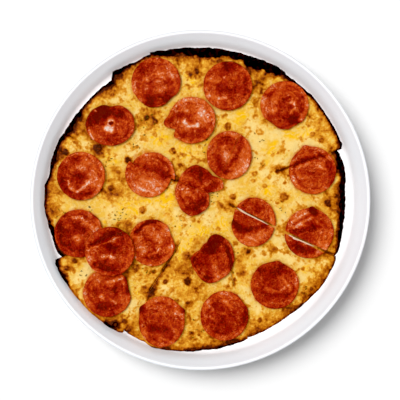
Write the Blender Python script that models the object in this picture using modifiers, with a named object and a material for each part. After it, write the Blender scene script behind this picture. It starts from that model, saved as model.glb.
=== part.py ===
"""Pepperoni pan pizza, cut into eight slices, in its shallow round white dish.

Metres, +Z up. The origin is the middle of the dish's foot, on the table, and +Y is the far side.
"""

import math

import bmesh
import bpy
from mathutils import Vector, noise
from mathutils.bvhtree import BVHTree

MM = 0.001
REST_GAP = 0.3 * MM  # between pieces that touch
SHARP_ANGLE = math.radians(50)  # edges turned by more than this look sharp

# Dish: a coupe of one wall thickness, with a raised side, a round lip and a low foot ring
DISH_RADIUS = 144 * MM
DISH_HEIGHT = 22 * MM
DISH_WALL = 3.4 * MM
DISH_FLOOR = 5.5 * MM  # top of the floor
DISH_SLOPE = math.radians(60)  # of the side, above the horizontal
DISH_FILLET = 5 * MM  # inside, where the floor turns up into the side
FOOT_RADIUS = 96 * MM
FOOT_WIDTH = 5 * MM
FOOT_CHAMFER = 1 * MM
DISH_STEPS = 64

# Pizza: a thin pan crust with the cheese baked to its charred edge
PIZZA_CENTRE = Vector((-3.6 * MM, 0.9 * MM))
CUT_CENTRE = Vector((8.9 * MM, 4.3 * MM))  # where the cuts meet, off the pizza's middle
CRUST_BOTTOM = DISH_FLOOR + REST_GAP
CRUST_TOP = CRUST_BOTTOM + 7.2 * MM  # under the cheese
CHEESE_BOTTOM = CRUST_TOP + REST_GAP
CHEESE_TOP = CHEESE_BOTTOM + 3 * MM
CHEESE_SWELL = 0.6 * MM  # height of its soft hills
CHEESE_HILL = 26 * MM  # and their width
CHEESE_EDGE_DROP = 0.5 * MM
CHEESE_RINGS = (0, 0.12, 0.3, 0.5, 0.7, 0.87, 1)
CRAG_DEPTH = 0.5 * MM  # of the fine unevenness of the outer edge
CRAG_WIDTH = 12 * MM
CORNERS = (0.4, 0.2, 1.6, 1.4, 0.8, 0.8, 1.6, 0.6)  # in mm, taken off the outer corners beside each cut
CORNER_SHARE = 0.03  # of a slice's angle, that the rounding takes
SIDE_BULGE = 0.7 * MM  # how far the crust's side leans in at half height
SIDE_TUCK = 4.2 * MM  # near its bottom
BOTTOM_TUCK = 6.2 * MM  # and at the bottom itself

# Directions of the cuts in degrees, from the one at the top round clockwise
CUTS = (113.2, 63.8, 19.4, -26.0, -75.4, -122.6, -157.4, -202.6)
COLUMNS = (0, 0.025, 0.08, 0.14, 0.2, 0.28, 0.36, 0.44, 0.52, 0.6, 0.65, 0.71, 0.77, 0.83, 0.89, 0.94, 0.975, 1)

# Each slice, after its first cut: charred rim's width and rise, and how far it is pulled out, in mm
SLICES = (
    (7.5, 1.4, 0.9),
    (3.2, 0.6, 0.9),
    (3.8, 0.9, 1.0),
    (2.2, 0.4, 1.0),
    (2.0, 0.4, 1.2),
    (2.6, 0.5, 1.2),
    (3.6, 0.7, 0.9),
    (3.4, 0.8, 0.9),
)

# The lumpy edge of each slice: share of the way from its first cut to its second, and radius there in mm
EDGES = (
    ((0, 130.0), (0.1, 128.2), (0.6, 128.2), (0.8, 129.2), (1, 131.0)),
    ((0, 131.4), (0.1, 131.4), (0.14, 129.4), (0.35, 130.9), (0.8, 131.4), (1, 131.7)),
    ((0, 127.2), (0.25, 128.0), (0.4, 126.2), (0.7, 126.4), (1, 128.4)),
    ((0, 129.4), (0.25, 129.1), (0.6, 126.0), (1, 125.4)),
    ((0, 126.2), (0.4, 128.2), (0.76, 130.9), (0.83, 128.1), (1, 127.0)),
    ((0, 129.6), (0.12, 131.0), (0.7, 130.7), (1, 131.0)),
    ((0, 125.0), (0.3, 126.8), (0.36, 128.2), (0.58, 128.0), (0.64, 126.0), (0.85, 126.8), (1, 126.0)),
    ((0, 124.9), (0.2, 123.6), (0.6, 123.2), (0.65, 128.4), (0.85, 126.6), (1, 128.8)),
)

# Pepperoni
PEPPERONI_THICK = 1.8 * MM  # in the middle
PEPPERONI_EDGE = 1.3 * MM
PEPPERONI_STEPS = 20
CRUMPLED_STEPS = 30  # round one with an outline of its own
PEPPERONI_GAP = 0.4 * MM  # to what it lies on
DRAPE_REACH = 3 * MM  # how far round each point the height of the pizza counts
OVERLAP_REACH = 9 * MM  # the same for one that lies over others
CUT_GAP = 0.35 * MM  # from the line of the cut to each half

# Each one: place and radius in mm, how far its edge cups up in mm, then what makes its outline its own.
# dents: direction in degrees, depth as a share of the radius (below 0 is a lobe), half width in degrees.
# flats: direction in degrees, distance from the middle as a share of the radius, where an edge is folded or cut.
# outline: direction in degrees and reach in mm all the way round, for a crumpled one, in place of a radius.
# halves: the pieces that a cut leaves, each with the cuts beside it and the side it keeps, 1 for left.
# slides: how far a half has slid, in mm.
# The one that lies over others comes last.
PEPPERONI = {
    "01": dict(at=(-37.4, 99.9), radius=20.8, cup=0.7, dents=((-48, 0.1, 22), (-105, -0.05, 18)), slice=8),
    "02": dict(at=(23.4, 96.7), radius=20.7, cup=0.9, slice=1),
    "03": dict(at=(71.5, 80.4), radius=20.3, cup=0.9, flats=((-125, 0.93), (-62, 0.95)), slice=2),
    "04": dict(at=(-76.2, 63.8), radius=20.7, cup=1.6, dents=((88, 0.13, 14),), stretch=(1, 0.86), slice=8),
    "05": dict(
        at=(-6.9, 67.6), radius=19.8, cup=1.4, dents=((186, -0.2, 13), (209, 0.2, 9), (219, -0.05, 10)),
        halves={"a": (8, ((1, 1),)), "b": (1, ((1, -1),))},
    ),
    "06": dict(at=(-100.9, 20.3), radius=20.3, cup=1.1, slice=7),
    "07": dict(
        at=(-44.0, 22.0), radius=19.5, cup=0.5,
        halves={"a": (8, ((8, -1),)), "b": (7, ((8, 1),))}, slides={"a": (3.1, -1.3)},
    ),
    "08": dict(
        at=(24.6, 38.0), radius=19.0, cup=1.1, stretch=(1, 1.07),
        halves={"a": (1, ((2, 1),)), "b": (2, ((2, -1),))},
    ),
    "09": dict(
        at=(-2.8, 8.0), cup=1.0,
        outline=(
            (-154, 18.7), (-124, 21.0), (-105, 22.2), (-73, 18.4), (-51, 16.2), (-38, 12.9), (-10, 9.6), (4, 22.5),
            (23, 23.0), (44, 17.9), (76, 20.4), (92, 21.8), (118, 19.9), (152, 17.4), (179, 18.3),
        ),
        halves={"a": (8, ((8, -1),)), "b": (7, ((8, 1), (5, -1)))},
    ),
    "10": dict(
        at=(95.2, 25.0), radius=19.9, cup=0.9, dents=((108, -0.12, 10),),
        halves={"a": (2, ((3, 1),)), "b": (3, ((3, -1),))},
    ),
    "11": dict(
        at=(45.4, -18.2), radius=19.9, cup=0.8, dents=((165, 0.08, 16),), stretch=(0.93, 1.02),
        halves={"a": (3, ((4, 1),)), "b": (4, ((4, -1),))}, slides={"b": (-0.7, -1.0)},
    ),
    "12": dict(
        at=(92.7, -27.5), radius=20.4, cup=0.8, dents=((83, -0.08, 8),),
        halves={"a": (3, ((4, 1),)), "b": (4, ((4, -1),))}, slides={"b": (-0.6, -1.5)},
    ),
    "13": dict(at=(-103.0, -28.4), radius=20.4, cup=0.6, slice=7),
    "15": dict(at=(-40.8, -36.2), radius=19.8, cup=0.7, flats=((22, 0.88), (62, 0.97)), slice=6),
    "16": dict(at=(-78.9, -78.9), radius=20.2, cup=0.6, flats=((12, 0.93),), slice=6),
    "17": dict(
        at=(10.0, -50.2), cup=1.3,
        outline=(
            (-140, 17.5), (-102, 20.6), (-62, 18.3), (-29, 18.5), (20, 19.2), (56, 20.6), (70, 21.2), (82, 21.4),
            (94, 19.6), (106, 15.2), (144, 12.8), (160, 15.6), (177, 18.0),
        ),
        halves={"a": (5, ((5, -1),)), "b": (4, ((5, 1),))},
    ),
    "18": dict(at=(63.3, -72.0), radius=20.3, cup=0.6, flats=((104, 0.96), (58, 0.94)), slice=4),
    "19": dict(
        at=(-32.7, -103.0), radius=19.9, cup=0.8, dents=((150, -0.1, 10), (24, -0.12, 9)), stretch=(0.97, 1.08),
        slice=5,
    ),
    "20": dict(at=(20.6, -98.2), radius=20.3, cup=0.5, flats=((38, 0.95),), stretch=(1, 1.03), slice=5),
    "14": dict(
        at=(-76.4, -43.6), radius=20.8, cup=0.5, over=True,
        halves={"a": (7, ((7, -1),)), "b": (6, ((7, 1),))},
    ),
}

COLOURS = {
    "dish": ((0.86, 0.86, 0.87), 0.15),
    "crust": ((0.34, 0.14, 0.045), 0.8),
    "cheese": ((0.83, 0.56, 0.16), 0.4),
    "pepperoni": ((0.42, 0.05, 0.015), 0.35),
}


def clear_scene():
    for old in list(bpy.data.objects):
        bpy.data.objects.remove(old, do_unlink=True)


def material(slot):
    colour, roughness = COLOURS[slot]
    made = bpy.data.materials.get(slot) or bpy.data.materials.new(slot)
    made.use_nodes = True
    shader = made.node_tree.nodes["Principled BSDF"]
    shader.inputs["Base Color"].default_value = (*colour, 1)
    shader.inputs["Roughness"].default_value = roughness
    shader.inputs["Metallic"].default_value = 0
    return made


def add_object(name, mesh, slot, collection, parent=None, place=(0, 0, 0)):
    made = bpy.data.objects.new(name, mesh)
    mesh.materials.append(material(slot))
    collection.objects.link(made)
    made.parent = parent
    made.location = place
    return made


def arc(centre, radius, start, end, steps):
    """Points of an arc in the plane of a profile, from one angle to the other, in radians."""
    angles = (start + (end - start) * i / steps for i in range(steps + 1))
    return [(centre[0] + radius * math.cos(a), centre[1] + radius * math.sin(a)) for a in angles]


def dish_profile():
    """From the middle of the floor, up the inside, over the lip, down the outside and back under the foot."""
    lip = DISH_WALL / 2
    lip_centre = (DISH_RADIUS - lip, DISH_HEIGHT - lip)
    inward = DISH_SLOPE + math.pi / 2  # square to the side, towards the middle
    outward = DISH_SLOPE - math.pi / 2
    turn_height = DISH_FLOOR + DISH_FILLET
    fillet_end = turn_height - DISH_FILLET * math.cos(DISH_SLOPE)
    wall_top = (lip_centre[0] + lip * math.cos(inward), lip_centre[1] + lip * math.sin(inward))
    run = (wall_top[1] - fillet_end) / math.tan(DISH_SLOPE)
    turn = (wall_top[0] - run - DISH_FILLET * math.sin(DISH_SLOPE), turn_height)
    underside = DISH_FLOOR - DISH_WALL
    foot_inner = FOOT_RADIUS - FOOT_WIDTH
    foot = [
        (FOOT_RADIUS + FOOT_CHAMFER, underside),
        (FOOT_RADIUS, 0),
        (foot_inner, 0),
        (foot_inner - FOOT_CHAMFER, underside),
    ]
    inside = arc(turn, DISH_FILLET, -math.pi / 2, outward, 2)
    over = arc(lip_centre, lip, inward, outward, 3)
    outside = arc(turn, DISH_FILLET + DISH_WALL, outward, -math.pi / 2, 2)
    return [(0, DISH_FLOOR), *inside, *over, *outside, *foot, (0, underside)]


def make_dish(collection):
    profile = dish_profile()
    mesh = bpy.data.meshes.new("dish")
    edges = [(i, i + 1) for i in range(len(profile) - 1)]
    mesh.from_pydata([(r, 0, z) for r, z in profile], edges, [])
    dish = add_object("dish", mesh, "dish", collection)
    turned = dish.modifiers.new("turned", "SCREW")
    turned.steps = turned.render_steps = DISH_STEPS
    turned.use_merge_vertices = True
    turned.merge_threshold = 0.00001
    turned.use_smooth_shade = True
    return dish


def smooth(mesh):
    mesh.shade_smooth()
    mesh.set_sharp_from_angle(angle=SHARP_ANGLE)


def loft(name, sections, closed):
    """A solid through sections of equal length. An open run of sections is capped at both ends."""
    bm = bmesh.new()
    rows = [[bm.verts.new(point) for point in section] for section in sections]
    pairs = list(zip(rows, rows[1:] + rows[:1]))
    for here, there in pairs if closed else pairs[:-1]:
        for i in range(len(here) - 1):
            bm.faces.new((here[i], there[i], there[i + 1], here[i + 1]))
    if not closed:
        bm.faces.new(rows[0])
        bm.faces.new(rows[-1])
    bmesh.ops.remove_doubles(bm, verts=bm.verts, dist=0.000001)
    bmesh.ops.dissolve_degenerate(bm, edges=bm.edges, dist=0.000001)
    bmesh.ops.recalc_face_normals(bm, faces=bm.faces)
    mesh = bpy.data.meshes.new(name)
    bm.to_mesh(mesh)
    bm.free()
    smooth(mesh)
    return mesh


def uneven(point, width, seed):
    """A smooth uneven value from -1 to 1, with bumps of that width."""
    return noise.noise(Vector((point[0] / width, point[1] / width, seed)))


def cheese_height(point):
    return CHEESE_TOP + CHEESE_SWELL * uneven(point, CHEESE_HILL, 3.7)


def edge_radius(number, share):
    """The radius of a slice's lumpy edge, on the straight run between the two sizes beside that share."""
    sizes = EDGES[number - 1]
    for (start, low), (end, high) in zip(sizes, sizes[1:]):
        if share <= end:
            return (low + (high - low) * (share - start) / (end - start)) * MM


def edge_distance(direction, radius):
    """How far it is from the middle of the cuts to the pizza's edge."""
    offset = CUT_CENTRE - PIZZA_CENTRE
    along = offset.dot(direction)
    return math.sqrt(along**2 - offset.length_squared + radius**2) - along


def slice_angles(number):
    """The two cuts of a slice, in radians, the second one clockwise of the first."""
    first, second = CUTS[number - 1], CUTS[number % len(CUTS)]
    if second > first:
        second -= 360
    return math.radians(first), math.radians(second)


def slice_sections(number):
    """For each column of a slice: direction, distance to the cheese's edge and distance to the crust's edge."""
    rim = SLICES[number - 1][0] * MM
    first, second = slice_angles(number)
    for share in COLUMNS:
        angle = first + (second - first) * share
        direction = Vector((math.cos(angle), math.sin(angle)))
        edge = edge_distance(direction, edge_radius(number, share))
        edge += CRAG_DEPTH * uneven(direction * edge, CRAG_WIDTH, 1.3)
        corner = CORNERS[number - 1] if share < 0.5 else CORNERS[number % len(CORNERS)]
        edge -= corner * MM * max(0, 1 - min(share, 1 - share) / CORNER_SHARE)
        yield direction, edge - rim, edge


def crust_section(direction, cheese_edge, edge, rise):
    """The closed section of a crust slice on one direction: floor of the cheese, rim, side and bottom."""
    rim = edge - cheese_edge
    crag = 0.7 + 0.5 * uneven(direction * edge, CRAG_WIDTH, 8.1)
    top = CHEESE_TOP - CHEESE_EDGE_DROP + rise * crag
    profile = [
        (0, CRUST_TOP),
        (cheese_edge + 0.4 * MM, CRUST_TOP),
        (cheese_edge + 0.45 * rim, top - 0.2 * MM),
        (cheese_edge + 0.75 * rim, top),
        (edge, top - 1.2 * MM),
        (edge - SIDE_BULGE, CRUST_BOTTOM + 4.5 * MM),
        (edge - SIDE_TUCK, CRUST_BOTTOM + 0.8 * MM),
        (edge - BOTTOM_TUCK, CRUST_BOTTOM),
        (0, CRUST_BOTTOM),
    ]
    return [(*(direction * reach), height) for reach, height in profile]


def cheese_section(direction, cheese_edge):
    """The closed section of a cheese slice on one direction: its soft top, edge and flat underside."""
    section = []
    for share in CHEESE_RINGS:
        point = direction * cheese_edge * share
        drop = CHEESE_EDGE_DROP if share == 1 else 0
        section.append((*point, cheese_height(point) - drop))
    return [*section, (*(direction * cheese_edge), CHEESE_BOTTOM), (0, 0, CHEESE_BOTTOM)]


def make_slice(number, collection):
    """The crust and the cheese of one slice, on an empty at the slice's point."""
    _, rise, pull = (value * MM for value in SLICES[number - 1])
    middle = sum(slice_angles(number)) / 2
    carrier = bpy.data.objects.new(f"slice_{number}", None)
    collection.objects.link(carrier)
    outward = Vector((math.cos(middle), math.sin(middle)))
    carrier.location = (*(CUT_CENTRE + outward * pull), 0)
    columns = list(slice_sections(number))
    crust = [crust_section(*column, rise) for column in columns]
    cheese = [cheese_section(direction, cheese_edge) for direction, cheese_edge, _ in columns]
    add_object(f"crust_{number}", loft("crust", crust, False), "crust", collection, carrier)
    add_object(f"cheese_{number}", loft("cheese", cheese, False), "cheese", collection, carrier)
    return carrier


def all_faces(objects):
    """One tree of the world-space faces of those objects, to find what lies below a point."""
    points, faces = [], []
    for item in objects:
        start = len(points)
        points.extend(item.matrix_world @ vertex.co for vertex in item.data.vertices)
        faces.extend([start + i for i in face.vertices] for face in item.data.polygons)
    return BVHTree.FromPolygons(points, faces)


def support_height(tree, point, reach):
    """The highest surface near a point of the plane, so that what rests there clears all of it."""
    near = [Vector((0, 0))]
    for share in (0.5, 1):
        for i in range(8):
            turn = math.tau * i / 8
            near.append(Vector((math.cos(turn), math.sin(turn))) * reach * share)
    hits = (tree.ray_cast(Vector((*(point + step), 1)), Vector((0, 0, -1)))[0] for step in near)
    return max(hit.z for hit in hits if hit)


def outline_radius(spec, angle):
    """How far a round of sausage reaches in one direction, from 0 to 360 degrees in radians."""
    if "outline" in spec:
        turn = math.degrees(angle)
        points = sorted((turned % 360, reach) for turned, reach in spec["outline"])
        points = [(points[-1][0] - 360, points[-1][1]), *points, (points[0][0] + 360, points[0][1])]
        for (start, low), (end, high) in zip(points, points[1:]):
            if turn <= end:
                return (low + (high - low) * (turn - start) / (end - start)) * MM
    reach = spec["radius"] * MM
    for turned, depth, width in spec.get("dents", ()):
        away = math.remainder(angle - math.radians(turned), math.tau) / math.radians(width)
        reach *= 1 - depth * math.exp(-(away**2))
    for turned, distance in spec.get("flats", ()):
        lean = math.cos(angle - math.radians(turned))
        if lean > 0:
            reach = min(reach, spec["radius"] * MM * distance / lean)
    return reach


def pepperoni_mesh(name, spec, centre, tree):
    """A cupped round of sausage, draped over what the tree holds, about its own middle."""
    wide, deep = spec.get("stretch", (1, 1))
    near = OVERLAP_REACH if spec.get("over") else DRAPE_REACH
    steps = CRUMPLED_STEPS if "outline" in spec else PEPPERONI_STEPS
    sections = []
    for i in range(steps):
        angle = math.tau * i / steps
        reach = outline_radius(spec, angle)
        spoke = Vector((wide * math.cos(angle), deep * math.sin(angle))) * reach
        wave = 0.8 + 0.2 * math.cos(2 * angle + spec["at"][0])
        section = []
        for share, thick in (
            (0, PEPPERONI_THICK), (0.5, PEPPERONI_THICK), (0.84, PEPPERONI_THICK), (1, PEPPERONI_EDGE),
            (1, 0), (0.55, 0), (0, 0),
        ):
            height = support_height(tree, centre + spoke * share, near) + PEPPERONI_GAP
            lift = spec["cup"] * MM * wave * share**4
            section.append((*(spoke * share), height + lift + thick))
        sections.append(section)
    return loft(name, sections, True)


def cut_away(mesh, line_point, angle, side):
    """Keeps the left or right side of a vertical cut through a mesh, and closes the face that it leaves."""
    outward = Vector((math.sin(angle), -math.cos(angle), 0)) * side
    at = Vector((*line_point, 0)) - outward * CUT_GAP
    bm = bmesh.new()
    bm.from_mesh(mesh)
    everything = bm.verts[:] + bm.edges[:] + bm.faces[:]
    made = bmesh.ops.bisect_plane(
        bm, geom=everything, dist=0.000001, plane_co=at, plane_no=outward, clear_outer=True
    )
    rim = [item for item in made["geom_cut"] if isinstance(item, bmesh.types.BMEdge)]
    bmesh.ops.holes_fill(bm, edges=rim, sides=0)
    bmesh.ops.recalc_face_normals(bm, faces=bm.faces)
    bm.to_mesh(mesh)
    bm.free()
    smooth(mesh)


def place_pepperoni(name, mesh, centre, number, carriers, collection):
    carrier = carriers[number - 1]
    place = Vector((*centre, 0)) - carrier.location
    return add_object(name, mesh, "pepperoni", collection, carrier, place)


def make_pepperoni(number, spec, tree, carriers, collection):
    """One round of pepperoni, or the halves that a cut has left of it."""
    centre = Vector(spec["at"]) * MM
    if "halves" not in spec:
        mesh = pepperoni_mesh(number, spec, centre, tree)
        return [place_pepperoni(f"pepperoni_{number}", mesh, centre, spec["slice"], carriers, collection)]
    made = []
    for half, (slice_number, cuts) in spec["halves"].items():
        slide = Vector(spec.get("slides", {}).get(half, (0, 0))) * MM
        place = centre + slide
        mesh = pepperoni_mesh(number + half, spec, place, tree)
        for cut, side in cuts:
            cut_away(mesh, CUT_CENTRE - centre, math.radians(CUTS[cut - 1]), side)
        name = f"pepperoni_{number}_{half}"
        made.append(place_pepperoni(name, mesh, place, slice_number, carriers, collection))
    return made


def main():
    clear_scene()
    collection = bpy.data.collections.new("pan_pizza")
    bpy.context.scene.collection.children.link(collection)
    make_dish(collection)
    carriers = [make_slice(number + 1, collection) for number in range(len(SLICES))]
    bpy.context.view_layer.update()
    pizza = [item for item in collection.objects if item.name.startswith(("crust", "cheese"))]
    laid = []
    for number, spec in PEPPERONI.items():
        tree = all_faces(pizza + laid if spec.get("over") else pizza)
        laid.extend(make_pepperoni(number, spec, tree, carriers, collection))
        bpy.context.view_layer.update()


main()
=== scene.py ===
import math

import bmesh
import bpy
import numpy as np
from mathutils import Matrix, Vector, noise
from mathutils.bvhtree import BVHTree


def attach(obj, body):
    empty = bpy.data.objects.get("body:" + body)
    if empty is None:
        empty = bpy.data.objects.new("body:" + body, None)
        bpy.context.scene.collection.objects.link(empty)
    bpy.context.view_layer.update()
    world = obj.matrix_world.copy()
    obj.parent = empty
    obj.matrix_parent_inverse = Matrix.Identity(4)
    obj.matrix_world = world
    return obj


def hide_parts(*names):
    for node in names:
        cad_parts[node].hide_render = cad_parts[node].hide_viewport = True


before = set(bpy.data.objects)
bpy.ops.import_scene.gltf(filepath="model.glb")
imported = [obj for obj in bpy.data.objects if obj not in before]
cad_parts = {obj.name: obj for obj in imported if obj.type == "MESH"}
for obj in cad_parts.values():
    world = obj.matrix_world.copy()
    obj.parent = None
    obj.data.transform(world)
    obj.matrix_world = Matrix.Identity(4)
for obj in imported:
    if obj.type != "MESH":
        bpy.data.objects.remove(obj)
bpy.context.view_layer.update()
print("frame loaded")

# lengths below are in mm, angles in degrees from +X, anticlockwise
mm = 0.001
tiny = 0.000001  # points closer than this, in m, are made one

# one picture point of the photo is this many mm, and its middle lies over the dish's middle
photo = {"scale": 0.84667, "middle": (200.2, 200.0)}


def fromPhoto(px, py):
    return (px - photo["middle"][0]) * photo["scale"], (photo["middle"][1] - py) * photo["scale"]


def toLinear(hexColour):
    values = [int(hexColour[i:i + 2], 16) / 255 for i in (1, 3, 5)]
    return tuple(v / 12.92 if v <= 0.04045 else ((v + 0.055) / 1.055) ** 2.4 for v in values) + (1.0,)


# noise on plain numbers, for the shapes and for what is browned where

def cell(ix, iy, seed):
    n = np.sin(ix * 127.1 + iy * 311.7 + seed * 74.7) * 43758.5453
    return n - np.floor(n)


def cloud(x, y, size, seed):
    # soft blobs of that size, from 0 to 1
    turn = seed * 0.7
    u = (x * math.cos(turn) - y * math.sin(turn)) / size + seed * 3.1
    v = (x * math.sin(turn) + y * math.cos(turn)) / size - seed * 1.7
    iu, iv = np.floor(u), np.floor(v)
    fu, fv = u - iu, v - iv
    fu, fv = fu * fu * (3 - 2 * fu), fv * fv * (3 - 2 * fv)
    low = cell(iu, iv, seed) * (1 - fu) + cell(iu + 1, iv, seed) * fu
    high = cell(iu, iv + 1, seed) * (1 - fu) + cell(iu + 1, iv + 1, seed) * fu
    return low * (1 - fv) + high * fv


def clouds(x, y, size, seed, octaves=3):
    total, weight, share = 0, 0, 1
    for i in range(octaves):
        total = total + cloud(x, y, size / 2 ** i, seed + i * 5.3) * share
        weight += share
        share *= 0.55
    return total / weight


def ease(low, high, x):
    t = np.clip((x - low) / (high - low), 0, 1)
    return t * t * (3 - 2 * t)


def softNoise(x, y, width, seed):
    # the same soft noise that shapes the solids
    flat = zip(np.ravel(x), np.ravel(y))
    values = [noise.noise(Vector((a / width, b / width, seed))) for a, b in flat]
    return np.array(values).reshape(np.shape(x))


def openMesh(mesh):
    bm = bmesh.new()
    bm.from_mesh(mesh)
    return bm


def closeMesh(bm, mesh):
    # writes the edited mesh back with its faces turned outward
    bmesh.ops.recalc_face_normals(bm, faces=bm.faces)
    bm.to_mesh(mesh)
    bm.free()


def skin(name, points, around=False, caps=False, fields=None):
    # a skin through a grid of points in mm: rows run along the first axis, around joins the last to the
    # first, caps closes both ends, and fields holds a value at each point for the material
    rows, columns = points.shape[:2]
    index = np.arange(rows * columns).reshape(rows, columns)
    here = index if around else index[:-1]
    there = np.roll(index, -1, axis=0) if around else index[1:]
    quads = np.stack([here[:, :-1], there[:, :-1], there[:, 1:], here[:, 1:]], axis=-1).reshape(-1, 4)
    faces = quads.tolist()
    if caps:
        faces += [index[0].tolist(), index[-1].tolist()]
    mesh = bpy.data.meshes.new(name)
    mesh.from_pydata((points.reshape(-1, 3) * mm).tolist(), [], faces)
    for field, values in (fields or {}).items():
        layer = mesh.attributes.new(field, "FLOAT", "POINT")
        layer.data.foreach_set("value", np.ravel(values).astype(np.float32))
    bm = openMesh(mesh)
    bmesh.ops.remove_doubles(bm, verts=bm.verts, dist=2 * tiny)
    bmesh.ops.dissolve_degenerate(bm, edges=bm.edges, dist=tiny)
    closeMesh(bm, mesh)
    return mesh


def addPiece(name, mesh, material, nodes=(), sharp=60):
    mesh.shade_smooth()
    mesh.set_sharp_from_angle(angle=math.radians(sharp))
    made = bpy.data.objects.new(name, mesh)
    bpy.context.scene.collection.objects.link(made)
    mesh.materials.append(material)
    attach(made, "root")
    if nodes:
        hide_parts(*nodes)
    return made


def setInputs(tree, node, inputs):
    # each is a value, or a node or an output to link
    for key, value in inputs.items():
        if isinstance(value, bpy.types.Node):
            value = next(output for output in value.outputs if output.enabled)
        if isinstance(value, bpy.types.NodeSocket):
            tree.links.new(value, node.inputs[key])
        else:
            node.inputs[key].default_value = value


def addNode(tree, kind, settings=None, inputs=None):
    made = tree.nodes.new(kind)
    for key, value in (settings or {}).items():
        setattr(made, key, value)
    setInputs(tree, made, inputs or {})
    return made


def newMaterial(name):
    made = bpy.data.materials.new(name)
    made.use_nodes = True
    tree = made.node_tree
    tree.nodes.clear()
    shader = addNode(tree, "ShaderNodeBsdfPrincipled")
    addNode(tree, "ShaderNodeOutputMaterial", None, {"Surface": shader})
    return made, tree, shader


def setStops(ramp, stops):
    elements = ramp.color_ramp.elements
    while len(elements) > 1:
        elements.remove(elements[-1])
    elements[0].position = stops[0][0]
    elements[0].color = toLinear(stops[0][1])
    for position, colour in stops[1:]:
        elements.new(position).color = toLinear(colour)


dish = {
    "radius": 143.77, "height": 22.0, "wall": 3.4, "floor": 5.5, "slope": 60.0, "fillet": 5.0,
    "foot": 96.0, "footWidth": 5.0, "footRound": 1.0, "steps": 192,
    # painted shade on the white glazed ware: the floor is painted lightest, and the side and the lip greyer
    # towards the rim, listed by reach from the middle
    "glazeAndPaintedShade": ((0, "#F8F7F5"), (131, "#F4F3F3"), (137, "#E8E9EA"), (141, "#DCDDDF"), (143.2, "#D0D2D4")),
    "cool": "#F3FAFC", "warm": "#FDF6F8", "roughness": 0.34, "shine": 0.3, "pool": 110.0, "wave": 5.0,
}


def arcPoints(cx, cz, radius, start, end, steps):
    angles = np.radians(np.linspace(start, end, steps + 1))
    return [(cx + radius * math.cos(a), cz + radius * math.sin(a)) for a in angles]


def dishProfile():
    d = dish
    lip = d["wall"] / 2
    lipAt = (d["radius"] - lip, d["height"] - lip)
    slope = math.radians(d["slope"])
    turnZ = d["floor"] + d["fillet"]
    wallTop = (lipAt[0] - lip * math.sin(slope), lipAt[1] + lip * math.cos(slope))
    filletEnd = turnZ - d["fillet"] * math.cos(slope)
    turnX = wallTop[0] - (wallTop[1] - filletEnd) / math.tan(slope) - d["fillet"] * math.sin(slope)
    under = d["floor"] - d["wall"]
    inner = d["foot"] - d["footWidth"]
    r = d["footRound"]
    points = [(0, d["floor"]), (60, d["floor"]), (115, d["floor"])]
    points += arcPoints(turnX, turnZ, d["fillet"], -90, d["slope"] - 90, 8)
    points += arcPoints(lipAt[0], lipAt[1], lip, d["slope"] + 90, d["slope"] - 90, 10)
    points += arcPoints(turnX, turnZ, d["fillet"] + d["wall"], d["slope"] - 90, -90, 10)
    points += [(d["foot"] + r * 1.6, under), (d["foot"] + r * 0.6, under * 0.75), (d["foot"], 0.25)]
    points += [(d["foot"] - 0.4, 0), (inner + 0.4, 0), (inner, 0.25), (inner - r * 0.6, under * 0.75)]
    points += [(inner - r * 1.6, under), (50, under), (0, under)]
    return points


def glazeMaterial():
    # white glazed stoneware: a soft gloss, a tint that drifts at random between cool and warm, and painted
    # shade that greys the side and the lip
    d = dish
    made, tree, shader = newMaterial("white glazed stoneware, dipped")
    place = addNode(tree, "ShaderNodeTexCoord").outputs["Object"]
    flat = addNode(tree, "ShaderNodeVectorMath", {"operation": "MULTIPLY"}, {0: place, 1: (1, 1, 0)})
    radius = addNode(tree, "ShaderNodeVectorMath", {"operation": "LENGTH"}, {0: flat})
    across = addNode(tree, "ShaderNodeMath", {"operation": "DIVIDE"}, {0: radius, 1: d["radius"] * mm})
    # painted shade by reach from the middle: lightest on the floor, greyer up the side and over the lip
    ramp = addNode(tree, "ShaderNodeValToRGB", None, {"Fac": across})
    setStops(ramp, [(reach / d["radius"], tone) for reach, tone in d["glazeAndPaintedShade"]])
    pool, wave = [
        addNode(tree, "ShaderNodeTexNoise", None, {"Vector": place, "Scale": 1000 / d[size]})
        for size in ("pool", "wave")
    ]
    tints = {0: pool, 6: toLinear(d["cool"]), 7: toLinear(d["warm"])}
    tint = addNode(tree, "ShaderNodeMix", {"data_type": "RGBA"}, tints)
    multiply = {"data_type": "RGBA", "blend_type": "MULTIPLY"}
    colour = addNode(tree, "ShaderNodeMix", multiply, {0: 1.0, 6: ramp, 7: tint})
    bump = addNode(tree, "ShaderNodeBump", None, {"Strength": 0.08, "Distance": 0.0004, "Height": wave})
    setInputs(tree, shader, {
        "Base Color": colour, "Normal": bump, "Roughness": d["roughness"], "IOR": 1.5,
        "Specular IOR Level": d["shine"],
    })
    return made


def makeDish():
    profile = dishProfile()
    mesh = bpy.data.meshes.new("glazedDish")
    edges = [(i, i + 1) for i in range(len(profile) - 1)]
    mesh.from_pydata([(r * mm, 0, z * mm) for r, z in profile], edges, [])
    made = addPiece("glazedDish", mesh, glazeMaterial(), ("dish",))
    turned = made.modifiers.new("turned", "SCREW")
    turned.steps = turned.render_steps = dish["steps"]
    turned.use_merge_vertices = True
    turned.merge_threshold = 10 * tiny
    turned.use_smooth_shade = True


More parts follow.
